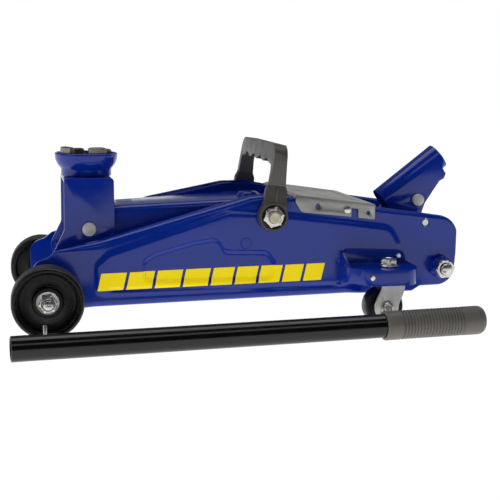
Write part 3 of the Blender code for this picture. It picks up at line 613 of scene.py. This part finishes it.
def decal(sign, side):
    """Plain slanted bars of yellow vinyl laid on the raised panel; their material adds a painted yellow
    glow.
    """
    shapes = []
    bars = ((41.0, 62.0), (64.5, 85.5), (88.0, 109.0), (111.5, 132.5), (135.0, 153.0),
            (155.5, 173.5), (176.0, 194.0), (196.5, 212.5), (215.0, 231.0))
    for start, end in bars:
        rows = []
        for k in range(15):
            z = 31.0 + 14.5 * k / 14.0
            lean = (z - 31.0) * 0.22
            row = []
            count = 14
            for i in range(count + 1):
                x = start + lean + (end - start) * i / count
                low, high = column_range(PLATE[side], x)
                up = z + 0.027 * (x - 41.0)
                row.append((x, sign * (plate_skin(x, up, low, high) + 0.12), up))
            rows.append(row)
        n = len(rows[0])
        points = [p for row in rows for p in row]
        back = [(x, y - sign * 0.1, z) for x, y, z in points]
        faces = []
        for k in range(len(rows) - 1):
            for i in range(n - 1):
                a = k * n + i
                faces.append((a, a + 1, a + n + 1, a + n))
        base = len(points)
        faces += [tuple(base + v for v in reversed(f)) for f in faces]
        rim = list(range(n)) + [k * n + n - 1 for k in range(1, len(rows))]
        rim += [(len(rows) - 1) * n + i for i in range(n - 2, -1, -1)]
        rim += [k * n for k in range(len(rows) - 2, 0, -1)]
        for a, b in zip(rim, rim[1:] + rim[:1]):
            faces.append((a, b, base + b, base + a))
        shapes.append((points + back, faces))
    piece(f"stripe_decal_{side}", merge(*shapes), YELLOW, "frame")


# ---- wheels, axle, fasteners --------------------------------------------------------------------
def front_wheels():
    r = 28.6
    centre = (AXLE[0], 0.0, AXLE[1])
    face = [(4.4, 4.0), (10.6, 4.0), (11.4, 3.9), (11.9, 3.4), (12.3, 1.7), (13.0, 1.25),
            (20.8, 1.2), (21.7, 1.7), (23.3, 8.4), (23.8, 9.4), (24.2, 9.7), (24.6, 9.2),
            (25.0, 9.4), (25.3, 10.8), (25.9, 11.2), (26.6, 11.15), (27.4, 10.7), (28.0, 9.9),
            (28.35, 8.8)]
    tread = [(28.6, 8.0), (r, 7.0), (r, -7.4), (28.6, -8.4)]
    back = [(28.0, -9.6), (27.2, -10.8), (26.2, -11.25), (24.8, -11.25), (24.2, -10.9),
            (23.0, -4.4), (22.4, -4.0), (12.9, -4.0), (12.3, -4.4), (11.6, -11.0), (9.0, -12.0),
            (9.0, -25.6), (8.6, -26.0), (4.4, -26.0)]
    washer = [(4.4, 88.95), (8.9, 88.95), (9.3, 89.3), (9.3, 90.4), (8.9, 90.75), (4.4, 90.75)]
    for side, sign in SIDES:
        wheel = turned(outward(face + tread + back, sign), "Y", (AXLE[0], sign * 84.65, AXLE[1]),
                       96)
        obj = piece(f"wheel_{side}", wheel, WHEEL, f"wheel_{side}_body", [f"front_wheel_{side}"],
                    smooth=40.0)
        obj.data.materials.append(TREAD)
        for polygon in obj.data.polygons:
            c = polygon.center - ORIGIN
            reach = math.hypot(c.x, c.z - AXLE[1] * MM) / MM
            if reach > 28.1 and abs(polygon.normal.y) < 0.8:
                polygon.material_index = 1
        piece(f"washer_{side}", turned(outward(washer, sign), "Y", centre, 64), ZINC, "frame",
              [f"axle_washer_{side}"])
        piece(f"axle_locknut_{side}", nut_shape("Y", centre, 13.0, 4.2, sign * 90.9, sign * 98.6,
                                                8.0, 2.0), ZINC, "frame",
              [f"axle_nut_{side}"], smooth=32.0)
    profile = rod_profile(4.0, -101.45, 101.45, 0.7, [(-100.5, -99.2, 1.3, 0.3),
                                                      (99.2, 100.5, 1.3, 0.3)])
    piece("axle_rod", turned(profile, "Y", centre, 40), ZINC, "frame", ["front_axle"],
          smooth=50.0)


def rear_tie():
    centre = (TIE[0], 0.0, TIE[1])
    profile = rod_profile(5.0, -77.0, 77.0, 0.9, [(-75.8, -74.4, 1.4, 0.3),
                                                  (74.4, 75.8, 1.4, 0.3)])
    piece("tie_rod", turned(profile, "Y", centre, 40), ZINC, "frame", ["rear_tie_rod"],
          smooth=50.0)
    for side, sign in SIDES:
        for name, node, across, low, high, turn, material in (
                ("tie_blue_nut", "rear_lock_nut", 18.0, 58.3, 65.4, 20.0, PAINT),
                ("tie_nut", "rear_tie_nut", 15.0, 65.7, 73.9, 5.0, ZINC)):
            piece(f"{name}_{side}", nut_shape("Y", centre, across, 5.2, sign * low, sign * high,
                                              turn), material, "frame", [f"{node}_{side}"],
                  smooth=32.0)


def lift_pivot():
    centre = (PIVOT[0], 0.0, PIVOT[1])
    piece("lift_bolt", turned(rod_profile(5.0, -73.6, 73.6, 0.9), "Y", centre, 40), ZINC, "frame",
          ["lift_pivot_bolt"], smooth=50.0)
    disc = [(0.0, 73.0), (4.9, 73.0), (4.9, 73.5), (4.4, 73.95), (3.4, 73.8), (0.0, 73.9)]
    for side, sign in SIDES:
        piece(f"bolt_end_{side}", turned(outward(disc, sign), "Y", centre, 40), CREAM, "frame",
              smooth=60.0)
        piece(f"pivot_locknut_{side}", nut_shape("Y", centre, 16.0, 5.2, sign * 64.7,
                                                 sign * 71.4, 14.0, 1.2), ZINC, "frame",
              [f"pivot_nut_{side}"], smooth=32.0)


# ---- casters -------------------------------------------------------------------------------------
def casters():
    cx, cy = CASTER
    for side, sign in SIDES:
        softened(f"caster_bracket_{side}", PAINT, "frame", 1.3, 3)
        piece(f"gusset_{side}", bent_gusset(sign), PAINT, "frame", bevel=0.5)
        seam = []
        for i in range(26):
            z = 31.0 + 30.0 * i / 25.0
            r = 1.7 + 0.5 * math.sin(i * 2.1) + 0.4 * noise.noise(Vector((i * 0.9, sign, 3.1)))
            ring = arc((247.4, sign * 59.2), r, 0.0, 330.0, 11)
            seam.append([(x, y, z) for x, y in ring])
        piece(f"weld_bead_{side}", loft(seam), PAINT, "frame", smooth=80.0)

        centre = (cx, sign * cy, 0.0)
        piece(f"caster_bolt_top_{side}", merge(
            turned([(0.0, 39.4), (5.2, 39.4), (6.0, 40.2), (6.0, 42.4), (4.0, 42.4), (4.0, 50.3),
                    (8.0, 50.3), (8.4, 50.7), (8.4, 51.3), (8.0, 51.7), (0.0, 51.7)], "Z",
                   centre, 48),
            turned([(0.0, 51.4), (6.2, 51.4), (7.5, 52.2), (7.5, 55.8), (6.3, 56.8), (4.6, 57.0),
                    (4.2, 56.7), (0.0, 56.6)], "Z", centre, 72, 0.0, hexed(13.0, 12.0))),
            ZINC, "frame", [f"caster_bolt_{side}"], smooth=32.0)

        for name, x, z, y in (("flange", 299.5, 56.1, 61.4), ("rim", 264.4, 44.0, 98.4)):
            out = min(y + 2.2, 100.6)
            profile = [(0.0, y), (2.2, y), (2.4, y + 0.4), (2.3, out - 0.8), (1.5, out),
                       (0.0, out)]
            piece(f"bracket_screw_{name}_{side}",
                  turned(outward(profile, sign), "Y", (x, 0.0, z), 30), ZINC, "frame")

        body = f"caster_{side}_body"
        fork(side, sign, body)
        axle_x = cx - 4.5
        centre = (axle_x, sign * cy, 16.7)
        profile = [(0.0, -15.0), (2.2, -15.0), (2.6, -14.6), (4.3, -14.8), (5.2, -14.2),
                   (5.4, -13.2), (3.0, -13.0), (3.0, 13.0), (5.4, 13.2), (5.2, 14.2),
                   (4.3, 14.8), (2.6, 14.6), (2.2, 15.0), (0.0, 15.0)]
        piece(f"caster_rivet_{side}", turned(profile, "Y", centre, 36), ZINC, body,
              [f"caster_axle_{side}"])
        r = 16.6
        tread = [(3.3, -9.8), (5.6, -9.8), (6.0, -9.4), (6.2, -6.2), (r - 4.6, -5.6),
                 (r - 3.6, -7.3), (r - 1.6, -7.5), (r - 0.5, -6.7), (r, -5.2), (r, 5.2),
                 (r - 0.5, 6.7), (r - 1.6, 7.5), (r - 3.6, 7.3), (r - 4.6, 5.6), (6.2, 6.2),
                 (6.0, 9.4), (5.6, 9.8), (3.3, 9.8)]
        piece(f"caster_roller_{side}", turned(tread, "Y", centre, 72), WHEEL,
              f"caster_wheel_{side}_body", [f"caster_wheel_{side}"])


def bent_gusset(sign):
    """Front end wall of the caster shelf, running from the rim up to the flange."""
    rings = []
    for x in (246.6, 249.0):
        ring = [(61.0, 61.0), (66.0, 60.0), (78.0, 49.8), (78.0, 40.0), (61.0, 33.5)]
        rings.append([(x + (y - 61.0) * 0.17, sign * y, z) for y, z in ring])
    return loft(rings)


def fork(side, sign, body):
    """Pressed fork: top plate with two legs that narrow to the axle eyes."""
    cx, cy = CASTER
    axle_x = cx - 4.5
    leg = rounded([(cx - 11.0, 46.7, 2.5), (cx + 11.0, 46.7, 2.5), (cx + 10.8, 32.0, 16.0),
                   (axle_x + 10.6, 20.0, 6.0), (axle_x + 9.6, 8.4, 7.4), (axle_x - 9.8, 8.4, 7.4),
                   (axle_x - 10.4, 20.0, 6.0), (cx - 8.6, 34.0, 10.0)], 8)
    mid = sign * cy
    gap = rounded([(mid - 10.3, 0.0, 0.0), (mid - 10.3, 43.7, 2.0), (mid + 10.3, 43.7, 2.0),
                   (mid + 10.3, 0.0, 0.0)], 4)
    round_top = rounded([(mid - 12.7, -5.0, 0.0), (mid - 12.7, 46.7, 3.5),
                         (mid + 12.7, 46.7, 3.5), (mid + 12.7, -5.0, 0.0)], 6)
    piece(f"fork_{side}", prism(leg, "Y", mid - 12.8, mid + 12.8), DULL, body,
          [f"caster_fork_{side}"],
          [("INTERSECT", prism(round_top, "X", cx - 40.0, cx + 40.0)),
           ("DIFFERENCE", prism(gap, "X", cx - 40.0, cx + 40.0)),
           ("DIFFERENCE", cylinder("Z", (cx, mid, 0.0), 4.3, 40.0, 60.0, 32)),
           drilled((axle_x, 16.7), 3.3, mid - 20.0, mid + 20.0)],
          bevel=0.35, smooth=35.0)


# ---- lifting gear -----------------------------------------------------------------------------
ARM = rounded([(25.0, 69.0, 9.0), (25.0, 96.0, 9.0), (58.0, 97.4, 0.0), (150.0, 102.6, 30.0),
               (190.0, 104.6, 8.0), (203.0, 97.0, 9.0), (215.7, 65.4, 8.0), (214.2, 49.4, 8.0),
               (195.7, 49.4, 8.0), (172.0, 76.0, 16.0), (60.0, 68.5, 20.0)], 8)


def arm_half_width(x):
    return 26.5 + 0.08 * (x - 36.4)


def lift_arm():
    """Tapered channel with generous shoulders, drawn from one sheet."""
    stations = [25.2 + 190.0 * i / 110.0 for i in range(111)]
    rings = []
    sheet = 4.0
    for x in stations:
        low, high = column_range(ARM, x)
        w = arm_half_width(x)
        r = min(6.0, (high - low) * 0.45)
        tuck = 0.07 * (high - low)
        outer = [(-w, low)] + [(-w + tuck + r - r * math.cos(a), high - r + r * math.sin(a))
                               for a in [math.pi / 2 * k / 8 for k in range(9)]]
        outer += [(-y, z) for y, z in reversed(outer)]
        inner_high = max(high - sheet, low + 0.4)
        ri = min(3.0, (inner_high - low) * 0.45)
        wi = w - sheet
        inner = [(wi, low)] + [(wi - tuck - ri + ri * math.cos(a), inner_high - ri + ri * math.sin(a))
                               for a in [math.pi / 2 * k / 6 for k in range(7)]]
        inner += [(-y, z) for y, z in reversed(inner)]
        rings.append([(x, y, z) for y, z in outer + inner])
    steps = [drilled(spot, 5.3) for spot in (SADDLE_PIN, PIVOT, LEVER_PIN)]
    slot = rounded([(63.0, 18.2, 1.2), (76.0, 18.2, 1.2), (76.0, 20.8, 1.2), (63.0, 20.8, 1.2)], 3)
    steps.append(("DIFFERENCE", prism(slot, "Z", 92.0, 104.0)))
    piece("lift_arm_channel", loft(rings), PAINT, "lift_arm_body", ["lift_arm"], steps,
          smooth=40.0)
    dome = [(0.0, 101.0), (11.0, 101.0), (11.4, 102.2), (10.0, 103.6), (9.6, 105.4),
            (8.8, 107.0), (7.0, 108.0), (0.0, 108.4)]
    piece("lift_arm_boss", turned(dome, "Z", (176.0, -14.0, 0.0), 40), PAINT, "lift_arm_body",
          smooth=60.0)
    softened("lever_pin", STEEL, "lift_arm_body", 0.4)


def saddle_column():
    softened("saddle_bracket", PAINT, "saddle_column", 0.9, 3)
    head = 33.0
    half = [(0.0, head + 2.85), (4.6, head + 2.8), (5.3, head + 2.5), (5.7, head + 1.9),
            (5.8, head), (5.0, head)]
    piece("saddle_rivet", turned(mirrored(half), "Y", (SADDLE_PIN[0], 0.0, SADDLE_PIN[1]), 40),
          DULL, "saddle_column", ["saddle_pin"])
    collar = [(6.0, 121.5), (21.2, 121.5), (21.4, 122.4), (21.35, 126.6), (21.9, 128.0),
              (23.2, 129.3), (24.6, 131.4), (25.7, 133.9), (26.35, 136.6), (26.6, 139.2),
              (26.55, 140.2), (25.9, 140.85), (25.1, 140.8), (24.5, 140.2), (23.7, 138.3),
              (22.8, 131.6), (21.4, 130.8), (6.0, 130.4)]
    piece("saddle_ring", turned(collar, "Z", (36.5, 0.0, 0.0), 96), PAINT, "saddle_column",
          ["saddle_cup"], smooth=50.0)


def saddle_pad():
    """Forged pad: ribbed dish with four curled lugs."""
    base = 132.2
    dish = [(0.0, 127.8), (5.3, 127.8), (5.3, base), (20.0, base), (21.8, base + 1.5),
            (22.5, 136.4), (22.2, 137.8), (21.0, 138.3), (19.4, 137.6), (18.2, 135.8),
            (10.0, 135.2), (8.6, 136.4), (6.6, 136.4), (5.2, 135.0), (0.0, 134.8)]
    shapes = [turned(dish, "Z", (36.5, 0.0, 0.0), 72)]
    for k in range(4):
        a0 = math.radians(25.0 + 90.0 * k)
        drop = 2.6 if k < 2 else 0.0
        rings = []
        for i in range(11):
            t = i / 10.0
            a = a0 + math.radians(-23.0 + 46.0 * t)
            crown = 1.0 - 0.10 * abs(2.0 * t - 1.0) ** 6
            top = 137.0 + 9.2 * crown - drop
            section = [(15.2, 134.6), (15.4, top - 1.2), (16.0, top - 0.3), (18.0, top),
                       (21.2, top - 0.2), (21.9, top - 1.0), (21.9, 135.0)]
            rings.append([(36.5 + r * math.cos(a), r * math.sin(a), z) for r, z in section])
        shapes.append(loft(rings))
        a = a0 + math.radians(45.0)
        rib = []
        for r in (7.0, 12.0, 18.6):
            s, c = math.sin(a), math.cos(a)
            rib.append([(36.5 + r * c - w * s, r * s + w * c, z)
                        for w, z in ((-1.7, 134.6), (-1.2, 137.3), (1.2, 137.3), (1.7, 134.6))])
        shapes.append(loft(rib))
    piece("saddle_forging", merge(*shapes), STEEL, "saddle_pad", ["saddle"], smooth=30.0)


def linkage():
    for side in ("left", "right"):
        softened(f"radius_link_{side}", STEEL, f"link_{side}_body", 0.5)


# ---- cover -------------------------------------------------------------------------------------
def cover():
    """Folded sheet over the pump bay: recessed top panel, dimpled side flanges."""
    sheet = 1.5

    def top(x):
        return blend(x, [(200.0, 110.6), (208.4, 109.55), (277.8, 100.55)])

    def fold_drop(x):
        return blend(x, [(205.2, 2.0), (209.5, 0.0), (277.8, 0.0)])

    rings = []
    stations = [205.4 + 72.4 * i / 90.0 for i in range(91)]
    ys = [-57.9 + 115.8 * k / 90.0 for k in range(91)]
    for x in stations:
        ring_out, ring_in = [], []
        for y in ys:
            inset = min(x - 215.0, 269.0 - x, 46.0 - abs(y))
            z = top(x) - fold_drop(x) - 0.8 * ease(inset, 2.2)
            diagonal = abs(abs(y) - (x - 215.0) * 46.0 / 54.0)
            z += 0.45 * ease(1.0 - diagonal, 1.6) * ease(inset - 2.0, 3.0)
            ring_out.append((x, y, z))
            ring_in.append((x, y, z - sheet))
        rings.append(ring_out + ring_in[::-1])
    top_sheet = loft(rings)
    hole = ("DIFFERENCE", cylinder("Z", (243.5, 0.0, 0.0), 2.0, 90.0, 115.0, 24))
    # The top panel takes the lighter copy of the cover sheet: painted light.
    piece("cover_top", top_sheet, SHEET_PAINTED_LIT_TOP, "frame", ["cover_plate"], [hole], smooth=60.0)
    for side, sign in SIDES:
        outline = rounded([(212.5, 94.6, 5.0), (206.6, 104.0, 4.0), (208.4, 108.9, 1.0),
                           (277.7, 99.9, 0.8), (277.7, 87.5, 1.2), (262.8, 89.4, 0.6),
                           (262.7, 97.0, 0.8), (256.7, 97.6, 0.8), (256.6, 90.2, 0.6)], 5)
        low, high = sorted((sign * 58.3, sign * 59.85))
        steps = []
        for x, z in ((227.6, 99.2), (271.6, 93.4)):
            reach = 3.6 if x < 250.0 else 1.9
            cone = [(0.0, 57.0), (1.6, 57.0), (1.6, 58.5), (reach, 60.2), (0.0, 60.2)]
            steps.append(("DIFFERENCE", turned(outward(cone, sign), "Y", (x, 0.0, z), 32)))
        steps.append(drilled((252.8, 96.0), 2.3, *sorted((sign * 57.0, sign * 61.0)), 24))
        piece(f"cover_flange_{side}", prism(outline, "Y", low, high), SHEET, "frame",
              steps=steps, bevel=0.35, smooth=35.0)
        bend = []
        for x in stations:
            z = top(x) - fold_drop(x)
            quarter = [(57.8 + 2.05 * math.sin(a), z - 2.05 + 2.05 * math.cos(a))
                       for a in [math.pi / 2 * k / 6 for k in range(7)]]
            inner = [(57.8 + 0.55 * math.sin(a), z - 2.05 + 0.55 * math.cos(a))
                     for a in [math.pi / 2 * k / 6 for k in range(6, -1, -1)]]
            bend.append([(x, sign * y, zz) for y, zz in quarter + inner])
        piece(f"cover_fold_{side}", loft(bend), SHEET, "frame", smooth=60.0)
        screw = [(0.0, 50.0), (2.0, 50.0), (2.0, 59.9), (3.1, 59.9), (3.2, 60.4), (2.8, 61.2),
                 (1.6, 61.6), (0.0, 61.6)]
        piece(f"screw_{side}", turned(outward(screw, sign), "Y",
                                      (252.8, 0.0, 96.0), 30), ZINC, "frame",
              [f"cover_screw_{side}"])


# ---- handle socket -------------------------------------------------------------------------------
MOUTH = (356.8, 138.0)
SLOPE = math.radians(38.0)


def along_socket(distance, step):
    return (MOUTH[0] - distance * math.cos(SLOPE) - step * math.sin(SLOPE),
            MOUTH[1] - distance * math.sin(SLOPE) + step * math.cos(SLOPE))


def swept(section, near, far):
    rings = []
    for distance in (near, far):
        ring = []
        for y, step in section:
            x, z = along_socket(distance, step)
            ring.append((x, y, z))
        rings.append(ring)
    return loft(rings)


def socket():
    outer, inner = 12.0, 9.9
    section = [(outer, -48.0)] + arc((0, 0), outer, 0.0, 180.0, 32) + [(-outer, -48.0)]
    section += [(-inner, -48.0)] + arc((0, 0), inner, 180.0, 0.0, 32) + [(inner, -48.0)]
    px, pz = SOCKET_PIVOT
    profile = rounded([(290.0, 110.0, 0), (335.0, 175.0, 0), (357.5, 160.0, 0),
                       (357.5, 127.6, 0), (360.6, 122.6, 0.6), (358.8, 118.2, 1.5),
                       (354.8, 116.2, 3.0), (350.2, 109.3, 8.0), (341.4, 95.8, 10.0),
                       (px + 11.0, pz - 6.0, 8.0), (px - 9.0, pz - 9.5, 9.0),
                       (px - 15.5, pz + 4.0, 5.0), (302.0, 95.0, 4.0)], 8)
    ring = arc((0, 0), outer, 0.0, 360.0, 64)[:-1]
    bore = arc((0, 0), inner, 0.0, 360.0, 64)[:-1]
    notch = swept([(-1.6, 11.2), (-1.6, 14.0), (1.6, 14.0), (1.6, 11.2)], 2.4, 4.2)
    seam = swept([(-0.35, 8.0), (-0.35, 14.0), (0.35, 14.0), (0.35, 8.0)], -1.0, 30.0)
    piece("socket_tube", swept(section, 0.0, 67.0), PAINT, "socket_body", ["handle_socket"],
          [("INTERSECT", prism(profile, "Y", -30.0, 30.0)),
           ("UNION", swept(ring, 0.0, 27.0)),
           ("DIFFERENCE", swept(bore, -5.0, 75.0)),
           ("DIFFERENCE", seam),
           ("DIFFERENCE", notch),
           drilled(SOCKET_PIVOT, 3.6, -30.0, 30.0), drilled(PUMP_PIN, 4.3, -30.0, 30.0)],
          bevel=0.4, smooth=35.0)
    head = 12.3
    half = [(0.0, head + 2.6), (4.5, head + 2.6), (5.1, head + 2.3), (5.5, head + 1.6),
            (5.5, head), (4.0, head)]
    piece("socket_rivet", turned(mirrored(half), "Y", (PUMP_PIN[0], 0.0, PUMP_PIN[1]), 40), DULL,
          "socket_body", ["pump_pin"])


# ---- carry handle -----------------------------------------------------------------------------------
LEAN = math.radians(6.5)


def leaned(shape):
    """The bail rests leaning back about its pivot."""
    points = []
    for x, y, z in shape[0]:
        dx, dz = x - PIVOT[0], z - PIVOT[1]
        points.append((PIVOT[0] + dx * math.cos(LEAN) + dz * math.sin(LEAN), y,
                       PIVOT[1] - dx * math.sin(LEAN) + dz * math.cos(LEAN)))
    return points, shape[1]


def carry_handle():
    """Moulded bail: scalloped grip, tapering legs, stepped collars and recessed eyes."""
    x, z = PIVOT
    under = []
    count = 60
    for i in range(count + 1):
        y = 52.0 - 104.0 * i / count
        wave = 0.5 - 0.5 * math.cos(2.0 * math.pi * (y + 52.0) / 26.0)
        edge = ease(48.0 - abs(y), 8.0)
        under.append((y, 135.4 + 3.4 * wave * edge))
    right = [(67.6, 118.0), (67.2, 139.0)] + arc((54.4, 138.8), 12.8, 0.0, 90.0, 8)
    left = [(-a, b) for a, b in reversed(right)]
    legs_in = [(60.6, 118.0), (59.8, 130.0), (58.0, 133.8), (55.0, 135.2)]
    outline = right + left + [(-a, b) for a, b in legs_in] + under[::-1] + legs_in[::-1]
    points, faces = prism(outline, "X", x - 1.0, x + 1.0)
    width = [(118.0, 7.0), (139.0, 5.6), (152.0, 5.5)]
    grip = [(x + (a - x) * blend(c, width), b, c) for a, b, c in points], faces
    body = "carry_handle_body"
    bail = raw("bail", leaned(grip))
    finish_mesh(bail, 1.9, 4, 50.0)
    dress(bail, PLASTIC, body, ["carry_handle"])
    eye = [(5.3, 58.4), (11.6, 58.4), (12.4, 59.2), (12.4, 68.2), (11.7, 69.2), (10.6, 69.2),
           (9.9, 68.4), (9.9, 64.4), (5.3, 64.4)]
    for side, sign in SIDES:
        leg = []
        for height, wide, inner, out in ((119.5, 6.9, 60.6, 67.5), (117.5, 7.6, 60.5, 67.6),
                                         (114.0, 9.2, 60.2, 68.0), (110.0, 9.4, 60.0, 68.2),
                                         (104.0, 9.6, 59.6, 68.4), (102.4, 10.1, 59.2, 69.0),
                                         (100.0, 10.2, 59.0, 69.1), (z, 10.6, 58.8, 69.1)):
            corner = 1.6
            ring = rounded([(x - wide, inner, corner), (x + wide, inner, corner),
                            (x + wide, out, corner), (x - wide, out, corner)], 4)
            leg.append([(a, sign * b, height) for a, b in ring])
        piece(f"bail_leg_{side}", leaned(loft(leg)), PLASTIC, body,
              steps=[drilled(PIVOT, 11.9, *sorted((sign * 50.0, sign * 75.0)), 64)], smooth=45.0)
        piece(f"bail_eye_{side}", turned(outward(eye, sign), "Y", (x, 0.0, z), 72), PLASTIC, body,
              smooth=45.0)
        rib = prism([(x - 1.1, 104.6), (x + 1.1, 104.6), (x + 0.8, 117.0), (x - 0.8, 117.0)],
                    "Y", *sorted((sign * 66.0, sign * 68.9)))
        piece(f"bail_rib_{side}", leaned(rib), PLASTIC, body, bevel=0.4)


# ---- loose handle bar -----------------------------------------------------------------------------
def bar_place():
    turn = Matrix.Rotation(math.radians(4.55), 4, "Z")
    tilt = Matrix.Rotation(-math.atan2(11.9 - 9.65, 292.0), 4, "Y")
    return Matrix.Translation((-29.0, -158.6, 9.65)) @ turn @ tilt


def laid(shape):
    """Puts a shape made along +X from the origin where the bar lies."""
    place = bar_place()
    return [tuple(place @ Vector(p)) for p in shape[0]], shape[1]


def handle_bar():
    wall = 8.05
    tube = [(wall, 0.4), (wall + 0.35, 0.0), (9.18, 0.0), (9.58, 0.4), (9.58, 373.9),
            (wall, 373.9)]
    hole = cylinder("Z", (25.0, 0.0, 0.0), 1.6, -20.0, 20.0, 24)
    obj = raw("bar_tube", laid(turned(tube, "X", (0, 0, 0), 64)))
    cut(obj, ("DIFFERENCE", laid(hole)))
    finish_mesh(obj, 0.0, smooth=40.0)
    dress(obj, BLACK, "loose_handle", ["handle_bar"])
    pin = [(0.0, -6.0), (1.0, -6.0), (1.3, -5.6), (1.3, 15.9), (1.0, 16.3), (0.0, 16.3)]
    piece("cross_pin", laid(turned(pin, "Z", (25.0, 0.0, 0.0), 28)), ZINC, "loose_handle",
          ["bar_pin"])
    start, end = 292.0, 380.0
    profile = [(0.0, 374.5), (9.9, 374.5), (9.9, start), (11.0, start), (11.6, start + 0.6),
               (11.78, start + 1.4), (11.75, start + 13.0)]
    ribs = 19
    pitch = 52.0 / ribs
    for i in range(ribs):
        h = start + 14.0 + i * pitch
        profile += [(10.7, h), (10.7, h + pitch * 0.26), (11.4, h + pitch * 0.40),
                    (11.75, h + pitch * 0.62), (11.5, h + pitch * 0.86)]
    profile += [(10.7, start + 66.2), (11.6, start + 67.2), (11.75, start + 70.0),
                (11.8, end - 6.0), (11.45, end - 3.4), (10.5, end - 1.6), (9.0, end - 0.5),
                (6.0, end - 0.02), (0.0, end - 0.02)]
    # The grip sleeve uses the lighter copy of the grey plastic: painted light.
    piece("grip_sleeve", laid(turned(profile, "X", (0, 0, 0), 64)), GRIP_PLASTIC_PAINTED_LIT, "loose_handle",
          ["bar_grip"], smooth=60.0)


# ---- hydraulic unit and the remaining CAD nodes ----------------------------------------------------
def hydraulics():
    softened("pump_block", CAST, "frame", 1.0)
    softened("reservoir_shell", PAINT, "frame", 0.5)
    softened("ram_cylinder", STEEL, "frame", 0.5)
    softened("ram", ZINC, "ram_body", 0.5)
    finishes = {"filler_plug": RUBBER, "plunger_spring": STEEL, "pump_plunger": ZINC,
                "release_valve": ZINC, "pump_roller": STEEL, "socket_pivot_pin": ZINC,
                "link_pin": ZINC, "link_stud_left": PAINT, "link_stud_right": PAINT,
                "pivot_bush_left": STEEL, "pivot_bush_right": STEEL}
    for node, material in finishes.items():
        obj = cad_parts[node]
        obj.data.materials.clear()
        obj.data.materials.append(material)


# ---- studio ------------------------------------------------------------------------------------------
def studio():
    size = 6.0
    mesh = bpy.data.meshes.new("floor")
    mesh.from_pydata([(-size, -size, 0), (size, -size, 0), (size, size, 0), (-size, size, 0)], [],
                     [(0, 1, 2, 3)])
    floor = bpy.data.objects.new("floor", mesh)
    floor.location.z = -0.0002
    bpy.context.scene.collection.objects.link(floor)
    mesh.materials.append(finish(
        "floor_white", 0.6, 0.0, ((3.0, 2.0), pair((0.05, 0.05, 0.05), (0.06, 0.06, 0.06))), None,
        Specular_IOR_Level=0.1, Emission_Color=(1.0, 1.0, 1.0, 1.0), Emission_Strength=1.0))

    world = bpy.data.worlds.new("studio")
    bpy.context.scene.world = world
    world.use_nodes = True
    tree = world.node_tree
    back = tree.nodes["Background"]
    coords = tree.nodes.new("ShaderNodeTexCoord")
    split = tree.nodes.new("ShaderNodeSeparateXYZ")
    tree.links.new(coords.outputs["Generated"], split.inputs["Vector"])

    def graded(source, start, end, low, high):
        made = tree.nodes.new("ShaderNodeMapRange")
        made.interpolation_type = "SMOOTHSTEP"
        for socket, value in zip(("From Min", "From Max", "To Min", "To Max"),
                                 (start, end, low, high)):
            made.inputs[socket].default_value = value
        tree.links.new(source, made.inputs["Value"])
        return made.outputs["Result"]

    def joined(operation, first, second):
        made = tree.nodes.new("ShaderNodeMath")
        made.operation = operation
        for socket, value in zip(made.inputs, (first, second)):
            if isinstance(value, float):
                socket.default_value = value
            else:
                tree.links.new(value, socket)
        return made.outputs[0]

    behind = graded(split.outputs["Y"], -0.15, 0.35, 0.0, 1.0)
    band = joined("MULTIPLY", graded(split.outputs["Z"], 0.08, 0.14, 1.0, 0.0), behind)
    upper = joined("MULTIPLY_ADD", behind, 0.13)
    upper.node.inputs[2].default_value = 0.03
    tree.links.new(joined("MAXIMUM", upper, band), back.inputs["Strength"])
    back.inputs["Color"].default_value = (1.0, 1.0, 1.0, 1.0)

    def softbox(name, place, target, width, height, power):
        light = bpy.data.lights.new(name, "AREA")
        light.shape = "RECTANGLE"
        light.size = width
        light.size_y = height
        light.energy = power
        obj = bpy.data.objects.new(name, light)
        obj.location = place
        aim = Vector(target) - Vector(place)
        obj.rotation_euler = aim.to_track_quat("-Z", "Y").to_euler()
        bpy.context.scene.collection.objects.link(obj)

    softbox("overhead", (0.0, 0.15, 1.15), (0.0, 0.0, 0.0), 1.3, 0.6, 4.2)
    softbox("left_side", (-1.1, -0.25, 0.60), (0.0, 0.0, 0.08), 0.5, 0.8, 1.2)
    softbox("front_high", (0.30, -0.95, 1.05), (0.0, 0.0, 0.05), 0.9, 0.30, 1.0)
    softbox("right_back", (1.0, 0.7, 0.8), (0.0, 0.0, 0.08), 0.5, 0.5, 1.2)


def camera():
    """Camera at the photograph's viewing angle."""
    yaw, pitch, roll = (math.radians(v) for v in (12.5647158, 8.98311535, 0.93050767))
    focal, centre_x, centre_y, side = 1085.456, 254.234, 250.903, 500.0
    forward = Vector((math.sin(yaw) * math.cos(pitch), math.cos(yaw) * math.cos(pitch),
                      -math.sin(pitch)))
    right = Vector((math.cos(yaw), -math.sin(yaw), 0.0))
    up = right.cross(forward)
    r = right * math.cos(roll) + up * math.sin(roll)
    u = -right * math.sin(roll) + up * math.cos(roll)
    data = bpy.data.cameras.new("camera")
    data.sensor_width = 36.0
    data.lens = focal / side * 36.0
    data.shift_x = (side / 2.0 - centre_x) / side
    data.shift_y = (centre_y - side / 2.0) / side
    data.clip_start = 0.01
    data.clip_end = 60.0
    obj = bpy.data.objects.new("camera", data)
    place = Vector((-24.163, -940.310, 204.854)) * MM + ORIGIN
    basis = Matrix((r, u, -forward)).transposed().to_4x4()
    obj.matrix_world = Matrix.Translation(place) @ basis
    bpy.context.scene.collection.objects.link(obj)
    bpy.context.scene.camera = obj


def main():
    side_plates()
    for side, sign in SIDES:
        decal(sign, side)
    front_wheels()
    rear_tie()
    lift_pivot()
    casters()
    lift_arm()
    saddle_column()
    saddle_pad()
    linkage()
    cover()
    socket()
    carry_handle()
    handle_bar()
    hydraulics()
    studio()
    camera()
    bpy.context.scene.view_settings.view_transform = "Standard"


main()
